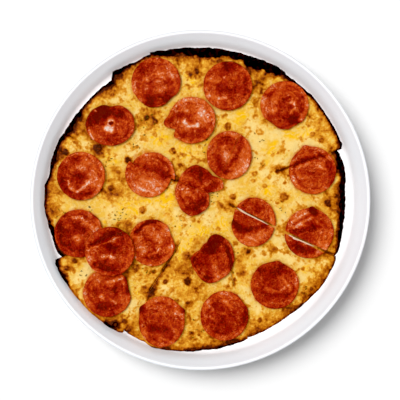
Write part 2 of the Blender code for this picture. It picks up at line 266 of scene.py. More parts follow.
# the pizza's outline, cuts and heights, as in the solids
pizza = {
    "centre": (-3.6, 0.9), "cutCentre": (8.9, 4.3),
    "bottom": 5.8, "doughTop": 13.0, "cheeseBottom": 13.3, "cheeseTop": 16.3,
    "swell": 0.6, "hill": 26.0, "edgeDrop": 0.5,
    "crag": 0.5, "cragWidth": 12.0, "corners": (0.4, 0.2, 1.6, 1.4, 0.8, 0.8, 1.6, 0.6), "cornerShare": 0.03,
    # the tips are drawn back to the cuts' middle over tipReach, and the sides lean out over sideReach
    "tipBack": 0.9, "tipReach": 4, "sideReach": 2.2,
    "cuts": (113.2, 63.8, 19.4, -26.0, -75.4, -122.6, -157.4, -202.6),
    # rim width, rim rise and pull of each slice
    "slices": (
        (7.5, 1.4, 0.9), (3.2, 0.6, 0.9), (3.8, 0.9, 1.0), (2.2, 0.4, 1.0),
        (2.0, 0.4, 1.2), (2.6, 0.5, 1.2), (3.6, 0.7, 0.9), (3.4, 0.8, 0.9),
    ),
    # its lumpy edge: share of the way from its first cut to its second, and radius there
    "edges": (
        ((0, 130.0), (0.1, 128.2), (0.6, 128.2), (0.8, 129.2), (1, 131.0)),
        ((0, 131.4), (0.1, 131.4), (0.14, 129.4), (0.35, 130.9), (0.8, 131.4), (1, 131.7)),
        ((0, 127.2), (0.25, 128.0), (0.4, 126.2), (0.7, 126.4), (1, 128.4)),
        ((0, 129.4), (0.25, 129.1), (0.6, 126.0), (1, 125.4)),
        ((0, 126.2), (0.4, 128.2), (0.76, 130.9), (0.83, 128.1), (1, 127.0)),
        ((0, 129.6), (0.12, 131.0), (0.7, 130.7), (1, 131.0)),
        ((0, 125.0), (0.3, 126.8), (0.36, 128.2), (0.58, 128.0), (0.64, 126.0), (0.85, 126.8), (1, 126.0)),
        ((0, 124.9), (0.2, 123.6), (0.6, 123.2), (0.65, 128.4), (0.85, 126.6), (1, 128.8)),
    ),
    # where melted cheese has run together again over each cut: from and to, in mm from the cuts' middle
    "healed": (
        ((6, 135),), ((14, 135),), ((0, 66), (84, 108)), ((0, 16), (58, 76), (96, 100)),
        ((0, 68), (80, 135)), ((0, 46), (96, 135)), ((0, 124),), ((0, 20), (66, 124)),
    ),
}

# round the pizza's edge: direction, width of the charred band in mm and how black it is
charBand = (
    (-180, 2.0, 0.5), (-172, 2.4, 0.5), (-167, 5.0, 1.0), (-161, 2.0, 0.5), (-156, 3.0, 0.9),
    (-150, 3.0, 0.9), (-144, 1.2, 0.4), (-140, 1.0, 0.2), (-130, 0.8, 0.1), (-125, 3.0, 0.8),
    (-123, 3.0, 0.8), (-121, 1.0, 0.2), (-112, 0.6, 0.05), (-100, 1.0, 0.3), (-90, 2.0, 0.6),
    (-84, 1.6, 0.5), (-76, 2.4, 0.7), (-72, 1.4, 0.4), (-60, 0.8, 0.25), (-48, 1.4, 0.45), (-40, 1.0, 0.35),
    (-32, 1.0, 0.4), (-24, 1.4, 0.5), (-16, 3.2, 0.85), (-12, 4.0, 1.0), (-4, 5.0, 1.0), (4, 5.5, 1.0),
    (12, 5.5, 1.0), (18, 3.6, 0.9), (24, 2.2, 0.7), (34, 1.8, 0.6), (45, 2.4, 0.8), (54, 3.6, 0.9),
    (58, 6.5, 1.0), (64, 9.0, 1.0), (70, 8.5, 1.0), (76, 7.0, 1.0), (86, 7.5, 1.0), (96, 7.0, 1.0),
    (102, 5.0, 1.0), (106, 3.4, 0.9), (110, 1.4, 0.5), (114, 1.6, 0.6), (118, 3.4, 0.9), (122, 5.0, 1.0),
    (126, 3.4, 0.9), (131, 2.0, 0.7), (138, 2.0, 0.7), (145, 4.6, 1.0), (149, 4.0, 0.9), (154, 4.6, 1.0),
    (158, 3.6, 0.9), (163, 4.0, 0.9), (170, 2.6, 0.7), (180, 2.0, 0.5),
)

# all of these are picture points and radii in points, as they lie in the photo
# browned patches of the cheese, with how much browner
patches = (
    (195, 68, 9, 0.42), (180, 62, 8, 0.3), (215, 66, 9, 0.34), (258, 82, 9, 0.44), (278, 74, 8, 0.22),
    (250, 68, 8, 0.4), (110, 86, 10, 0.44), (98, 96, 7, 0.3), (120, 76, 8, 0.4), (80, 128, 13, 0.4),
    (94, 140, 7, 0.42), (97, 149, 7, 0.6), (80, 147, 9, 0.18), (60, 152, 8, 0.42), (50, 190, 8, 0.36),
    (50, 212, 9, 0.38), (62, 250, 8, 0.36), (78, 258, 7, 0.44), (68, 265, 8, 0.3), (112, 187, 12, 0.38),
    (110, 188, 5, 0.25), (116, 176, 16, 0.2), (125, 190, 8, 0.2), (148, 119, 9, 0.42), (136, 125, 7, 0.28),
    (127, 160, 4, 0.55), (127, 228, 7, 0.42), (178, 166, 7, 0.26), (177, 178, 4, 0.55), (282, 170, 6, 0.42),
    (250, 250, 6, 0.24), (228, 206, 5, 0.36), (220, 184, 5, 0.4), (287, 227, 5, 0.4), (243, 270, 8, 0.3),
    (239, 262, 6, 0.26), (194, 245, 7, 0.24), (190, 257, 6, 0.5), (150, 270, 12, 0.2), (152, 291, 8, 0.55),
    (172, 272, 9, 0.22), (184, 273, 9, 0.38), (208, 279, 6, 0.3), (202, 292, 11, 0.28), (182, 296, 9, 0.2),
    (190, 310, 8, 0.26), (126, 276, 7, 0.45), (131, 267, 7, 0.3), (188, 320, 7, 0.24), (195, 341, 11, 0.3),
    (215, 348, 10, 0.3), (165, 348, 10, 0.35), (115, 322, 7, 0.5), (130, 326, 9, 0.34), (254, 326, 11, 0.3),
    (268, 318, 8, 0.24), (232, 344, 5, 0.6), (290, 309, 8, 0.36), (274, 316, 7, 0.3), (306, 292, 9, 0.26),
    (316, 281, 7, 0.36), (317, 255, 6, 0.5), (329, 250, 8, 0.44), (333, 198, 10, 0.34), (331, 170, 5, 0.3),
    (323, 134, 9, 0.3), (330, 150, 7, 0.42), (313, 120, 8, 0.3), (305, 108, 5, 0.2),
)

# single blisters, with how dark
blisters = (
    (172, 151, 4.5, 0.65), (184, 155, 3.2, 0.5), (155, 135, 3.2, 0.45), (142, 210, 4.5, 0.65),
    (228, 126, 4.4, 0.75), (233, 197, 3.8, 0.6), (255, 174, 3.6, 0.6), (253, 181, 3.0, 0.5),
    (270, 177, 3.0, 0.42), (265, 186, 3.0, 0.42), (284, 197, 5.5, 0.65), (273, 249, 5.5, 0.6),
    (313, 134, 3.2, 0.5), (243, 274, 3.4, 0.25), (165, 282, 3.2, 0.95), (187, 282, 4.6, 0.8),
    (188, 303, 2.6, 0.4), (192, 334, 2.4, 0.35), (190, 339, 2.2, 0.35), (199, 335, 2.2, 0.35),
    (110, 188, 4.0, 0.6), (146, 118, 3.0, 0.4), (155, 121, 3.4, 0.5), (303, 269, 2.6, 0.42),
    (322, 140, 3.0, 0.5), (328, 203, 4.2, 0.7), (97, 148, 5.0, 0.7), (127, 160, 3.4, 0.7),
    (115, 325, 4.6, 1.0), (124, 322, 3.4, 0.8), (66, 152, 3.6, 0.8), (109, 104, 2.6, 0.35),
    (178, 157, 2.0, 0.4), (180, 165, 2.6, 0.5), (109, 215, 2.2, 0.35), (249, 251, 2.6, 0.42),
    (304, 128, 2.2, 0.35), (239, 276, 2.6, 0.2), (135, 271, 2.6, 0.45), (154, 272, 2.6, 0.45),
    (147, 262, 3.0, 0.4), (177, 300, 2.6, 0.3), (201, 270, 3.4, 0.5), (301, 306, 2.6, 0.6),
    (66, 268, 3.4, 0.6), (118, 172, 2.8, 0.45), (130, 240, 2.0, 0.3), (74, 261, 3.4, 0.7),
    (260, 321, 3.0, 0.5), (312, 289, 2.4, 0.5),
)

# painted shade in lines along the cuts, laid on as browning: from and to, half a width in points, and how
# much browner
paintedCutShade = (
    (178, 241, 163, 271, 1.6, 0.3), (163, 271, 147, 301, 2.2, 0.26), (276, 172, 290, 166, 1.4, 0.3),
    (217.5, 202, 226.5, 210, 1.5, 0.25), (231, 266, 235, 283, 1.6, 0.26), (268, 65, 262, 88, 1.6, 0.2),
    (262, 88, 253, 120, 1.4, 0.14), (165, 176, 158, 172, 1.4, 0.2), (176, 176, 184, 181, 1.4, 0.2),
)

# where the milky fat of the cheese stayed pale
creams = (
    (178, 64, 5), (182, 71, 4), (185, 78, 4), (125, 84, 5), (120, 97, 5), (114, 103, 4), (138, 110, 5),
    (138, 139, 5), (131, 150, 8), (137, 152, 6), (162, 125, 3), (218, 114, 4), (231, 118, 4), (242, 106, 3),
    (255, 98, 4), (254, 126, 8), (251, 133, 6), (256, 146, 6), (259, 157, 5), (270, 135, 6), (279, 131, 5),
    (285, 140, 6), (300, 142, 8), (313, 142, 6), (293, 150, 5), (280, 162, 7), (263, 170, 5), (286, 182, 7),
    (275, 182, 5), (258, 190, 3), (300, 203, 6), (291, 205, 4), (318, 202, 3), (277, 205, 3), (285, 220, 6),
    (282, 238, 8), (284, 250, 8), (290, 261, 6), (302, 263, 5), (315, 262, 4), (324, 261, 4), (256, 255, 5),
    (265, 254, 4), (245, 289, 4), (249, 300, 5), (257, 309, 5), (302, 278, 4), (150, 207, 6), (110, 211, 4),
    (110, 223, 5), (73, 209, 3), (90, 208, 3), (177, 212, 5), (187, 219, 5), (205, 216, 5), (216, 213, 5),
    (211, 222, 5), (139, 221, 4), (183, 234, 3), (230, 185, 6), (242, 198, 3), (172, 183, 3), (86, 271, 6),
    (78, 280, 5), (131, 311, 6), (133, 303, 5), (166, 291, 4), (175, 291, 3), (75, 147, 4), (84, 145, 3),
    (226, 283, 4), (196, 323, 4), (117, 155, 3),
)

# pools of clear yellow butterfat
pools = (
    (186, 73, 4), (193, 84, 7), (200, 83, 6), (131, 97, 5), (225, 124, 6), (236, 120, 5), (241, 115, 5),
    (253, 105, 5), (156, 128, 6), (160, 137, 8), (182, 150, 8), (202, 151, 7), (201, 141, 5), (111, 157, 6),
    (167, 196, 10), (160, 203, 8), (146, 200, 6), (133, 201, 6), (120, 208, 5), (136, 213, 6),
    (177, 224, 5), (216, 232, 7), (204, 233, 7), (224, 223, 5), (190, 238, 6), (182, 248, 6), (178, 260, 6),
    (172, 268, 3), (289, 132, 7), (300, 133, 6), (312, 133, 6), (275, 146, 8), (269, 156, 5), (270, 188, 5),
    (268, 196, 4), (303, 269, 3), (138, 293, 5), (176, 288, 3), (113, 197, 4), (106, 222, 3), (252, 163, 3),
    (276, 77, 4), (191, 330, 4),
)


def edgeDistance(angle, radius):
    offset = Vector(pizza["cutCentre"]) - Vector(pizza["centre"])
    along = offset.x * np.cos(angle) + offset.y * np.sin(angle)
    return np.sqrt(along ** 2 - offset.length_squared + radius ** 2) - along


def sliceCuts(number):
    cuts = pizza["cuts"]
    first, second = cuts[number - 1], cuts[number % 8]
    if second > first:
        second -= 360
    return math.radians(first), math.radians(second)


def sliceFrame(number, columns):
    # direction, edge and rim width of each column of a slice, and where its point lies
    rim, rise, pull = pizza["slices"][number - 1]
    first, second = sliceCuts(number)
    near = pizza["cornerShare"]
    share = np.concatenate([
        np.linspace(0, near, 6, endpoint=False), np.linspace(near, 1 - near, columns - 12),
        np.linspace(1 - near, 1, 7)[1:],
    ])
    angle = first + (second - first) * share
    shares, radii = zip(*pizza["edges"][number - 1])
    edge = edgeDistance(angle, np.interp(share, shares, radii))
    crag = softNoise(np.cos(angle) * edge, np.sin(angle) * edge, pizza["cragWidth"], 1.3)
    edge = edge + pizza["crag"] * crag
    corner = np.where(share < 0.5, pizza["corners"][number - 1], pizza["corners"][number % 8])
    edge = edge - corner * np.clip(1 - np.minimum(share, 1 - share) / near, 0, 1)
    middle = (first + second) / 2
    x0 = pizza["cutCentre"][0] + math.cos(middle) * pull
    y0 = pizza["cutCentre"][1] + math.sin(middle) * pull
    return share, angle, edge, rim, rise, x0, y0


def layOut(angle, reach, x0, y0):
    # where each point of a slice lies: its tip is drawn back to where the cuts meet
    back = pizza["tipBack"] * (1 - ease(0, pizza["tipReach"], reach))
    x = x0 + np.cos(angle)[:, None] * reach + (pizza["cutCentre"][0] - x0) * back
    y = y0 + np.sin(angle)[:, None] * reach + (pizza["cutCentre"][1] - y0) * back
    return x, y


def cutSides(number, share, reach):
    # how far each point is from the nearer cut, whether that is the slice's first, and the way out over it
    first, second = sliceCuts(number)
    side = reach * np.sin(np.abs(first - second) * np.minimum(share, 1 - share))[:, None]
    isFirst = (share < 0.5)[:, None]
    outX = np.where(isFirst, -math.sin(first), math.sin(second))
    outY = np.where(isFirst, math.cos(first), -math.cos(second))
    return side, isFirst, outX, outY


# as in the solids, with the gap that the cut leaves in mm, how light each is (tone) and how wrinkled
rounds = {
    "01": dict(
        at=(-37.4, 99.9), radius=20.8, dents=((-48, 0.1, 22), (-105, -0.05, 18)), tone=0.0, wrinkle=1.0,
    ),
    "02": dict(at=(23.4, 96.7), radius=20.7, tone=-0.02, wrinkle=1.0),
    "03": dict(at=(71.5, 80.4), radius=20.3, flats=((-125, 0.93), (-62, 0.95)), tone=0.04, wrinkle=1.2),
    "04": dict(
        at=(-76.2, 63.8), radius=20.7, dents=((88, 0.13, 14),), stretch=(1, 0.86), tone=-0.12,
        wrinkle=0.6,
    ),
    "05": dict(
        at=(-6.9, 67.6), radius=19.8, dents=((186, -0.2, 13), (209, 0.2, 9), (219, -0.05, 10)), tone=0.1,
        wrinkle=1.3, gap=0.02, halves={"a": ((1, 1),), "b": ((1, -1),)},
    ),
    "06": dict(at=(-100.9, 20.3), radius=20.3, tone=0.0, wrinkle=1.4),
    "07": dict(
        at=(-44.0, 22.0), radius=19.5, tone=0.14, wrinkle=1.0, halves={"a": ((8, -1),), "b": ((8, 1),)},
        slides={"a": (3.1, -1.3)}, gap=0.08,
    ),
    "08": dict(
        at=(24.6, 38.0), radius=19.0, stretch=(1, 1.07), tone=-0.02, wrinkle=1.2, gap=0.12,
        halves={"a": ((2, 1),), "b": ((2, -1),)},
    ),
    "09": dict(
        at=(-2.8, 8.0), tone=-0.04, wrinkle=1.1,
        outline=(
            (-154, 18.7), (-124, 21.0), (-105, 22.2), (-73, 18.4), (-51, 16.2), (-38, 12.9), (-10, 9.6),
            (4, 22.5), (23, 23.0), (44, 17.9), (76, 20.4), (92, 21.8), (118, 19.9), (152, 17.4),
            (179, 18.3),
        ),
        halves={"a": ((8, -1),), "b": ((8, 1), (5, -1))}, gap=0.08,
    ),
    "10": dict(
        at=(95.2, 25.0), radius=19.9, dents=((108, -0.12, 10),), tone=0.0, wrinkle=1.1,
        halves={"a": ((3, 1),), "b": ((3, -1),)}, gap=0.1,
    ),
    "11": dict(
        at=(45.4, -18.2), radius=19.9, dents=((165, 0.08, 16),), stretch=(0.93, 1.02), tone=0.0,
        wrinkle=1.0, halves={"a": ((4, 1),), "b": ((4, -1),)}, slides={"b": (-0.7, -1.0)},
    ),
    "12": dict(
        at=(92.7, -27.5), radius=20.4, dents=((83, -0.08, 8),), tone=0.0, wrinkle=1.1,
        halves={"a": ((4, 1),), "b": ((4, -1),)}, slides={"b": (-0.6, -1.5)},
    ),
    "13": dict(at=(-103.0, -28.4), radius=20.4, tone=-0.1, wrinkle=1.2),
    "15": dict(at=(-40.8, -36.2), radius=19.8, flats=((22, 0.88), (62, 0.97)), tone=0.1, wrinkle=1.3),
    "16": dict(at=(-78.9, -78.9), radius=20.2, flats=((12, 0.93),), tone=-0.06, wrinkle=1.0),
    "17": dict(
        at=(10.0, -50.2), tone=-0.14, wrinkle=1.2, gap=0.02,
        outline=(
            (-140, 17.5), (-102, 20.6), (-62, 18.3), (-29, 18.5), (20, 19.2), (56, 20.6), (70, 21.2),
            (82, 21.4), (94, 19.6), (106, 15.2), (144, 12.8), (160, 15.6), (177, 18.0),
        ),
        halves={"a": ((5, -1),), "b": ((5, 1),)},
    ),
    "18": dict(at=(63.3, -72.0), radius=20.3, flats=((104, 0.96), (58, 0.94)), tone=-0.1, wrinkle=0.9),
    "19": dict(
        at=(-32.7, -103.0), radius=19.9, dents=((150, -0.1, 10), (24, -0.12, 9)), stretch=(0.97, 1.08),
        tone=-0.05, wrinkle=1.1,
    ),
    "20": dict(
        at=(20.6, -98.2), radius=20.3, flats=((38, 0.95),), stretch=(1, 1.03), tone=-0.08, wrinkle=0.8,
    ),
    "14": dict(
        at=(-76.4, -43.6), radius=20.8, tone=-0.1, wrinkle=0.9, halves={"a": ((7, -1),), "b": ((7, 1),)},
        gap=0.1,
    ),
}


# lighter and darker marks on each round, partly the meat's own patches and partly painted highlight on the
# grease and painted shade on its curled and cupped parts: half a width in picture points, how much lighter,
# and where it runs
meatMarksAndPaintedLight = {
    "01": (
        (8, 0.15, (160, 72)), (3.2, 0.35, (147, 79)), (2.8, 0.55, (160, 91), (164, 89)),
        (5, -0.42, (151, 99), (169, 99)), (5, -0.15, (150, 107)), (6, -0.25, (139, 68)),
        (5, 0.15, (134, 86)), (1.2, -0.3, (148, 83), (158, 79), (167, 82)),
        (1.4, 0.28, (172, 74), (176, 88)), (1.1, 0.22, (167, 93), (174, 84)),
        (1.0, 0.2, (152, 74), (163, 73)),
    ),
    "02": (
        (8, -0.15, (226, 72)), (4, -0.5, (226, 64), (238, 64)), (2.6, -0.5, (247, 78), (247, 91)),
        (4.5, -0.32, (220, 90), (238, 88)), (1.4, 0.65, (219, 98), (226, 98)), (1.8, 0.45, (229, 101)),
        (2.2, 0.35, (210, 79)), (4, 0.15, (213, 82)), (2.4, 0.2, (209, 94), (226, 106), (243, 100)),
        (1.0, 0.3, (217, 82), (226, 76)),
    ),
    "03": (
        (1.2, 0.6, (291, 103), (294, 102), (295, 108), (290, 113)), (1.8, 0.5, (273, 110), (276, 110)),
        (1.4, 0.35, (275, 102)), (3, -0.3, (268, 97)), (6, 0.2, (280, 90)),
        (4, -0.25, (272, 119), (295, 117)), (3, -0.22, (300, 98), (302, 112)),
        (1.2, -0.3, (266, 122), (280, 128), (300, 122)), (3.5, 0.22, (263, 100), (263, 112)),
        (1.0, -0.25, (283, 99), (290, 97)),
    ),
    "04": (
        (8, -0.5, (98, 112)), (6, -0.42, (91, 121)), (7, -0.45, (106, 109), (118, 111)),
        (3.4, 1.0, (108, 128), (111, 129)), (3.0, 0.95, (110, 121), (112, 121)),
        (1.2, -2.2, (110, 123), (112, 122.5)), (1.2, 0.8, (95, 111)), (5, 0.25, (122, 128)),
        (1.2, 0.25, (117, 118), (127, 122)), (4, -0.2, (104, 141), (125, 136)),
        (0.9, 0.5, (89, 130), (93, 140), (98, 146)), (1.0, 0.25, (97, 134), (103, 140)),
    ),
    "05": (
        (6, 0.32, (184, 104), (192, 104)), (4.5, 0.36, (202, 112), (206, 120)),
        (2.0, 0.6, (184, 121), (189, 126), (198, 125)), (0.9, -0.9, (197, 122)), (5, -0.35, (171, 119)),
        (2.6, -0.8, (169, 108)), (4, -0.4, (167, 123)), (4, -0.2, (178, 115), (190, 117)),
        (5, -0.3, (186, 136), (200, 133)), (1.4, -0.35, (175, 131), (184, 137)),
        (1.0, 0.35, (176, 111), (188, 110)),
    ),
    "06": (
        (4, -0.4, (60, 166), (61, 184), (70, 195)), (6, -0.2, (75, 158)), (6, -0.4, (80, 177)),
        (1.2, 0.6, (68, 181), (70, 188), (76, 192)), (1.4, 0.7, (78, 192), (84, 187), (88, 182)),
        (6, 0.25, (93, 178)), (2.6, 0.3, (81, 165)), (1.8, 0.3, (72, 169)),
        (1.0, 0.3, (65, 171), (70, 177)), (3, -0.3, (74, 197), (89, 195)), (1.0, 0.3, (90, 168), (97, 174)),
    ),
    "07": (
        (9, -0.06, (152, 161)), (2.6, -0.3, (133, 164), (150, 169), (169, 175)), (9, 0.22, (147, 186)),
        (1.8, -0.4, (127, 170)), (4, -0.35, (165, 176)), (1.0, 0.3, (134, 184), (142, 190), (151, 192)),
        (1.0, 0.25, (140, 179), (152, 183)),
    ),
    "08": (
        (14, 0.08, (228, 155)), (7, -0.3, (226, 142)), (1.8, -0.45, (243, 136), (237, 154), (226, 172)),
        (3.0, 0.34, (228, 157)), (2.4, 0.25, (224, 147)), (5, 0.1, (212, 160)),
        (2.4, -0.3, (216, 156), (222, 168)), (4.5, 0.28, (245, 152), (243, 166)), (4, 0.2, (236, 173)),
        (1.0, 0.3, (221, 138), (225, 146)),
    ),
    "09": (
        (14, 0.1, (190, 193)), (8, -0.35, (196, 172)), (6, -0.35, (213, 182)), (6, 0.25, (182, 193)),
        (2.0, 0.35, (187, 191), (194, 198)), (6, -0.45, (194, 207)), (4, -0.35, (203, 200)),
        (2.2, -0.32, (190, 184), (206, 190)), (1.4, 0.3, (192, 178)), (1.2, -0.4, (200, 168), (202, 184)),
    ),
    "10": (
        (2.2, -0.5, (290, 167), (305, 160), (326, 154)), (4, 0.12, (302, 153)),
        (1.4, 0.38, (297, 168), (309, 163)), (1.6, 0.32, (296, 171), (300, 178)), (4, -0.22, (327, 170)),
        (4, 0.25, (322, 182)), (4, 0.2, (311, 187)), (3, 0.15, (293, 180), (302, 190)),
        (5, -0.22, (313, 172)), (1.0, 0.3, (317, 165), (325, 169)),
    ),
    "11": (
        (8, -0.12, (256, 207)), (1.5, -0.5, (242, 205), (251, 198)), (2.6, 0.22, (262, 213)),
        (2.2, 0.08, (272, 213), (273, 228)), (2.5, -0.5, (233, 222), (243, 230), (255, 229), (266, 226)),
        (3.6, 0.22, (248, 222)), (5, 0.42, (251, 238), (261, 235)), (2, 0.15, (232, 231), (240, 241)),
        (1.0, 0.3, (246, 236), (258, 242)),
    ),
    "12": (
        (1.4, 0.45, (292, 222), (309, 213)), (1.4, 0.4, (297, 226), (312, 217)),
        (1.2, 0.35, (291, 228), (305, 225)), (3.0, -1.1, (311, 208), (314, 211)),
        (3, -0.38, (294, 231), (315, 228)), (2.6, 0.2, (328, 232), (325, 249)), (4.5, 0.2, (320, 240)),
        (5, -0.35, (298, 248), (312, 252)), (1.0, 0.3, (316, 221), (324, 226)),
    ),
    "13": (
        (14, -0.14, (76, 235)), (1.5, 0.5, (73, 217), (82, 218)), (2.4, 0.45, (84, 222), (96, 230)),
        (1.8, 0.4, (90, 217)), (3.2, 0.5, (76, 236), (78, 240)), (4.5, 0.15, (67, 225)),
        (4, -0.32, (60, 228), (61, 245)), (5, -0.15, (85, 250)), (1.0, 0.3, (88, 232), (95, 236)),
        (5, 0.1, (76, 213)),
    ),
    "14": (
        (14, -0.14, (110, 252)), (3.6, -0.4, (92, 243), (112, 235), (128, 228)),
        (0.8, 0.4, (88, 250), (105, 243), (118, 238)), (3.2, 0.35, (114, 241)), (2.2, 0.3, (105, 248)),
        (1.8, 0.5, (101, 256), (113, 257)), (1.8, 0.5, (111, 257)), (4, -0.32, (96, 264), (112, 268)),
        (2.0, -0.25, (104, 245), (116, 248)), (1.2, 0.25, (90, 252), (94, 260)),
    ),
    "15": (
        (1.8, -0.8, (136, 232), (148, 222), (161, 220)), (3.6, 0.5, (139, 238)),
        (3.2, 0.45, (143, 250), (144, 254)), (2.0, 0.35, (161, 240), (158, 251)),
        (1.2, 0.45, (149, 256), (160, 249)), (3.6, -0.2, (151, 241)), (4, -0.32, (144, 259), (157, 258)),
        (2.4, 0.2, (171, 246), (165, 261)), (1.0, 0.3, (140, 228), (152, 226)),
        (1.0, -0.35, (152, 247), (158, 256)),
    ),
    "16": (
        (5, 0.2, (97, 279)), (1.5, 0.55, (108, 283), (121, 278)), (1.8, 0.45, (101, 296)),
        (2.2, -0.7, (127, 279), (128, 293)), (4, -0.32, (115, 289)), (3.6, -0.25, (97, 290)),
        (4, -0.28, (101, 307), (118, 306)), (4, 0.2, (122, 300)), (1.0, 0.3, (108, 297), (115, 303)),
    ),
    "17": (
        (8, -0.9, (216, 239)), (6, -0.5, (210, 250)), (5, -0.42, (194, 262)), (6, 0.12, (213, 264)),
        (1.5, -0.65, (227, 246), (231, 262), (233, 277)), (3.4, -0.4, (206, 280)), (4, 0.15, (217, 277)),
        (1.0, 0.3, (210, 256), (218, 254)),
    ),
    "18": (
        (8, -0.25, (280, 270)), (4.5, 0.18, (257, 285)), (1.3, 0.2, (267, 283), (272, 286)),
        (1.3, 0.22, (266, 289), (280, 292), (289, 284)), (2, -0.32, (267, 295), (286, 295)),
        (1.2, 0.22, (267, 303), (285, 303)), (3, -0.2, (270, 309), (284, 308)), (4, -0.25, (263, 270)),
        (1.0, 0.25, (283, 278), (291, 290)),
    ),
    "19": (
        (14, -0.17, (161, 320)), (6.5, 0.28, (155, 311)), (4, -0.75, (140, 309)),
        (3.6, -0.85, (184.5, 311)), (4, -0.25, (154, 330), (166, 330)), (2, 0.3, (168, 325), (177, 333)),
        (6, 0.1, (169, 312)), (2, 0.3, (142, 326), (146, 335)), (0.9, -0.4, (152, 309), (160, 313)),
        (1.0, 0.3, (160, 338), (170, 341)),
    ),
    "20": (
        (5.5, -0.25, (210, 306)), (2, 0.36, (224, 300), (232, 308)), (1.2, 0.28, (206, 303), (213, 311)),
        (8, -0.22, (222, 327)), (2.6, -0.38, (245, 309), (247, 325)), (1.6, -0.3, (202, 313), (205, 326)),
        (1.0, 0.25, (216, 311), (228, 316)),
    ),
}


def outlineRadius(spec, angle):
    if "outline" in spec:
        turned, reach = zip(*spec["outline"])
        return np.interp(np.degrees(angle), turned, reach, period=360)
    reach = np.full_like(angle, spec["radius"])
    for turned, depth, width in spec.get("dents", ()):
        away = (angle - math.radians(turned) + math.pi) % math.tau - math.pi
        reach = reach * (1 - depth * np.exp(-((away / math.radians(width)) ** 2)))
    for turned, distance in spec.get("flats", ()):
        lean = np.cos(angle - math.radians(turned))
        flat = spec["radius"] * distance / np.maximum(lean, 0.05)
        reach = np.where(lean > 0, np.minimum(reach, flat), reach)
    return reach


def edgeLook(x, y):
    # width and blackness of the char at the edge nearest to a point
    around = np.degrees(np.arctan2(y - pizza["centre"][1], x - pizza["centre"][0]))
    table = np.array(charBand)
    around = around + (clouds(x, y, 5.0, 4.0, 2) - 0.5) * 5
    around = (around + 180) % 360 - 180
    return np.interp(around, table[:, 0], table[:, 1]), np.interp(around, table[:, 0], table[:, 2])


def blobs(x, y, table):
    # 1 inside each of those spots, softly down to 0 outside
    share = np.zeros_like(x)
    for px, py, radius in table:
        cx, cy = fromPhoto(px, py)
        far = ((x - cx) ** 2 + (y - cy) ** 2) / (radius * photo["scale"] * 1.2) ** 2
        share = 1 - (1 - share) * (1 - 0.9 * np.exp(-0.9 * far))
    return share


def lineDistance(x, y, points):
    # how far each place is from a line through those points
    nearest = None
    for start, end in zip(points, points[1:] or points):
        dx, dy = end[0] - start[0], end[1] - start[1]
        run = dx * dx + dy * dy or 1.0
        along = np.clip(((x - start[0]) * dx + (y - start[1]) * dy) / run, 0, 1)
        far = np.hypot(x - start[0] - dx * along, y - start[1] - dy * along)
        nearest = far if nearest is None else np.minimum(nearest, far)
    return nearest


def warped(x, y, reach, size, seed):
    # the same place pulled about, so that what is laid there has an uneven outline
    dx = (clouds(x, y, size, seed, 3) - 0.5) * 2 * reach
    dy = (clouds(x, y, size, seed + 3, 3) - 0.5) * 2 * reach
    return x + dx, y + dy


def greaseStain(x, y):
    # the orange grease that runs out of each round: 1 at its edge
    stain = np.zeros_like(x)
    for spec in rounds.values():
        wide, deep = spec.get("stretch", (1, 1))
        dx, dy = (x - spec["at"][0]) / wide, (y - spec["at"][1]) / deep
        out = np.hypot(dx, dy) - outlineRadius(spec, np.arctan2(dy, dx))
        stain = np.maximum(stain, 1 - ease(-0.5, 3.0, out))
    return stain


# how brown the top is, and what adds to it: amounts, and sizes in mm
baking = {
    "level": 0.292, "broad": 0.3, "broadSize": 13.0, "mottle": 0.36, "mottleSize": 4.6,
    "patch": 0.95, "freckle": 0.26, "freckleSize": 3.6, "blister": 0.62,
    "edge": 0.19, "darkEdge": 0.2, "edgeWidth": 8, "halo": 0.4,
}


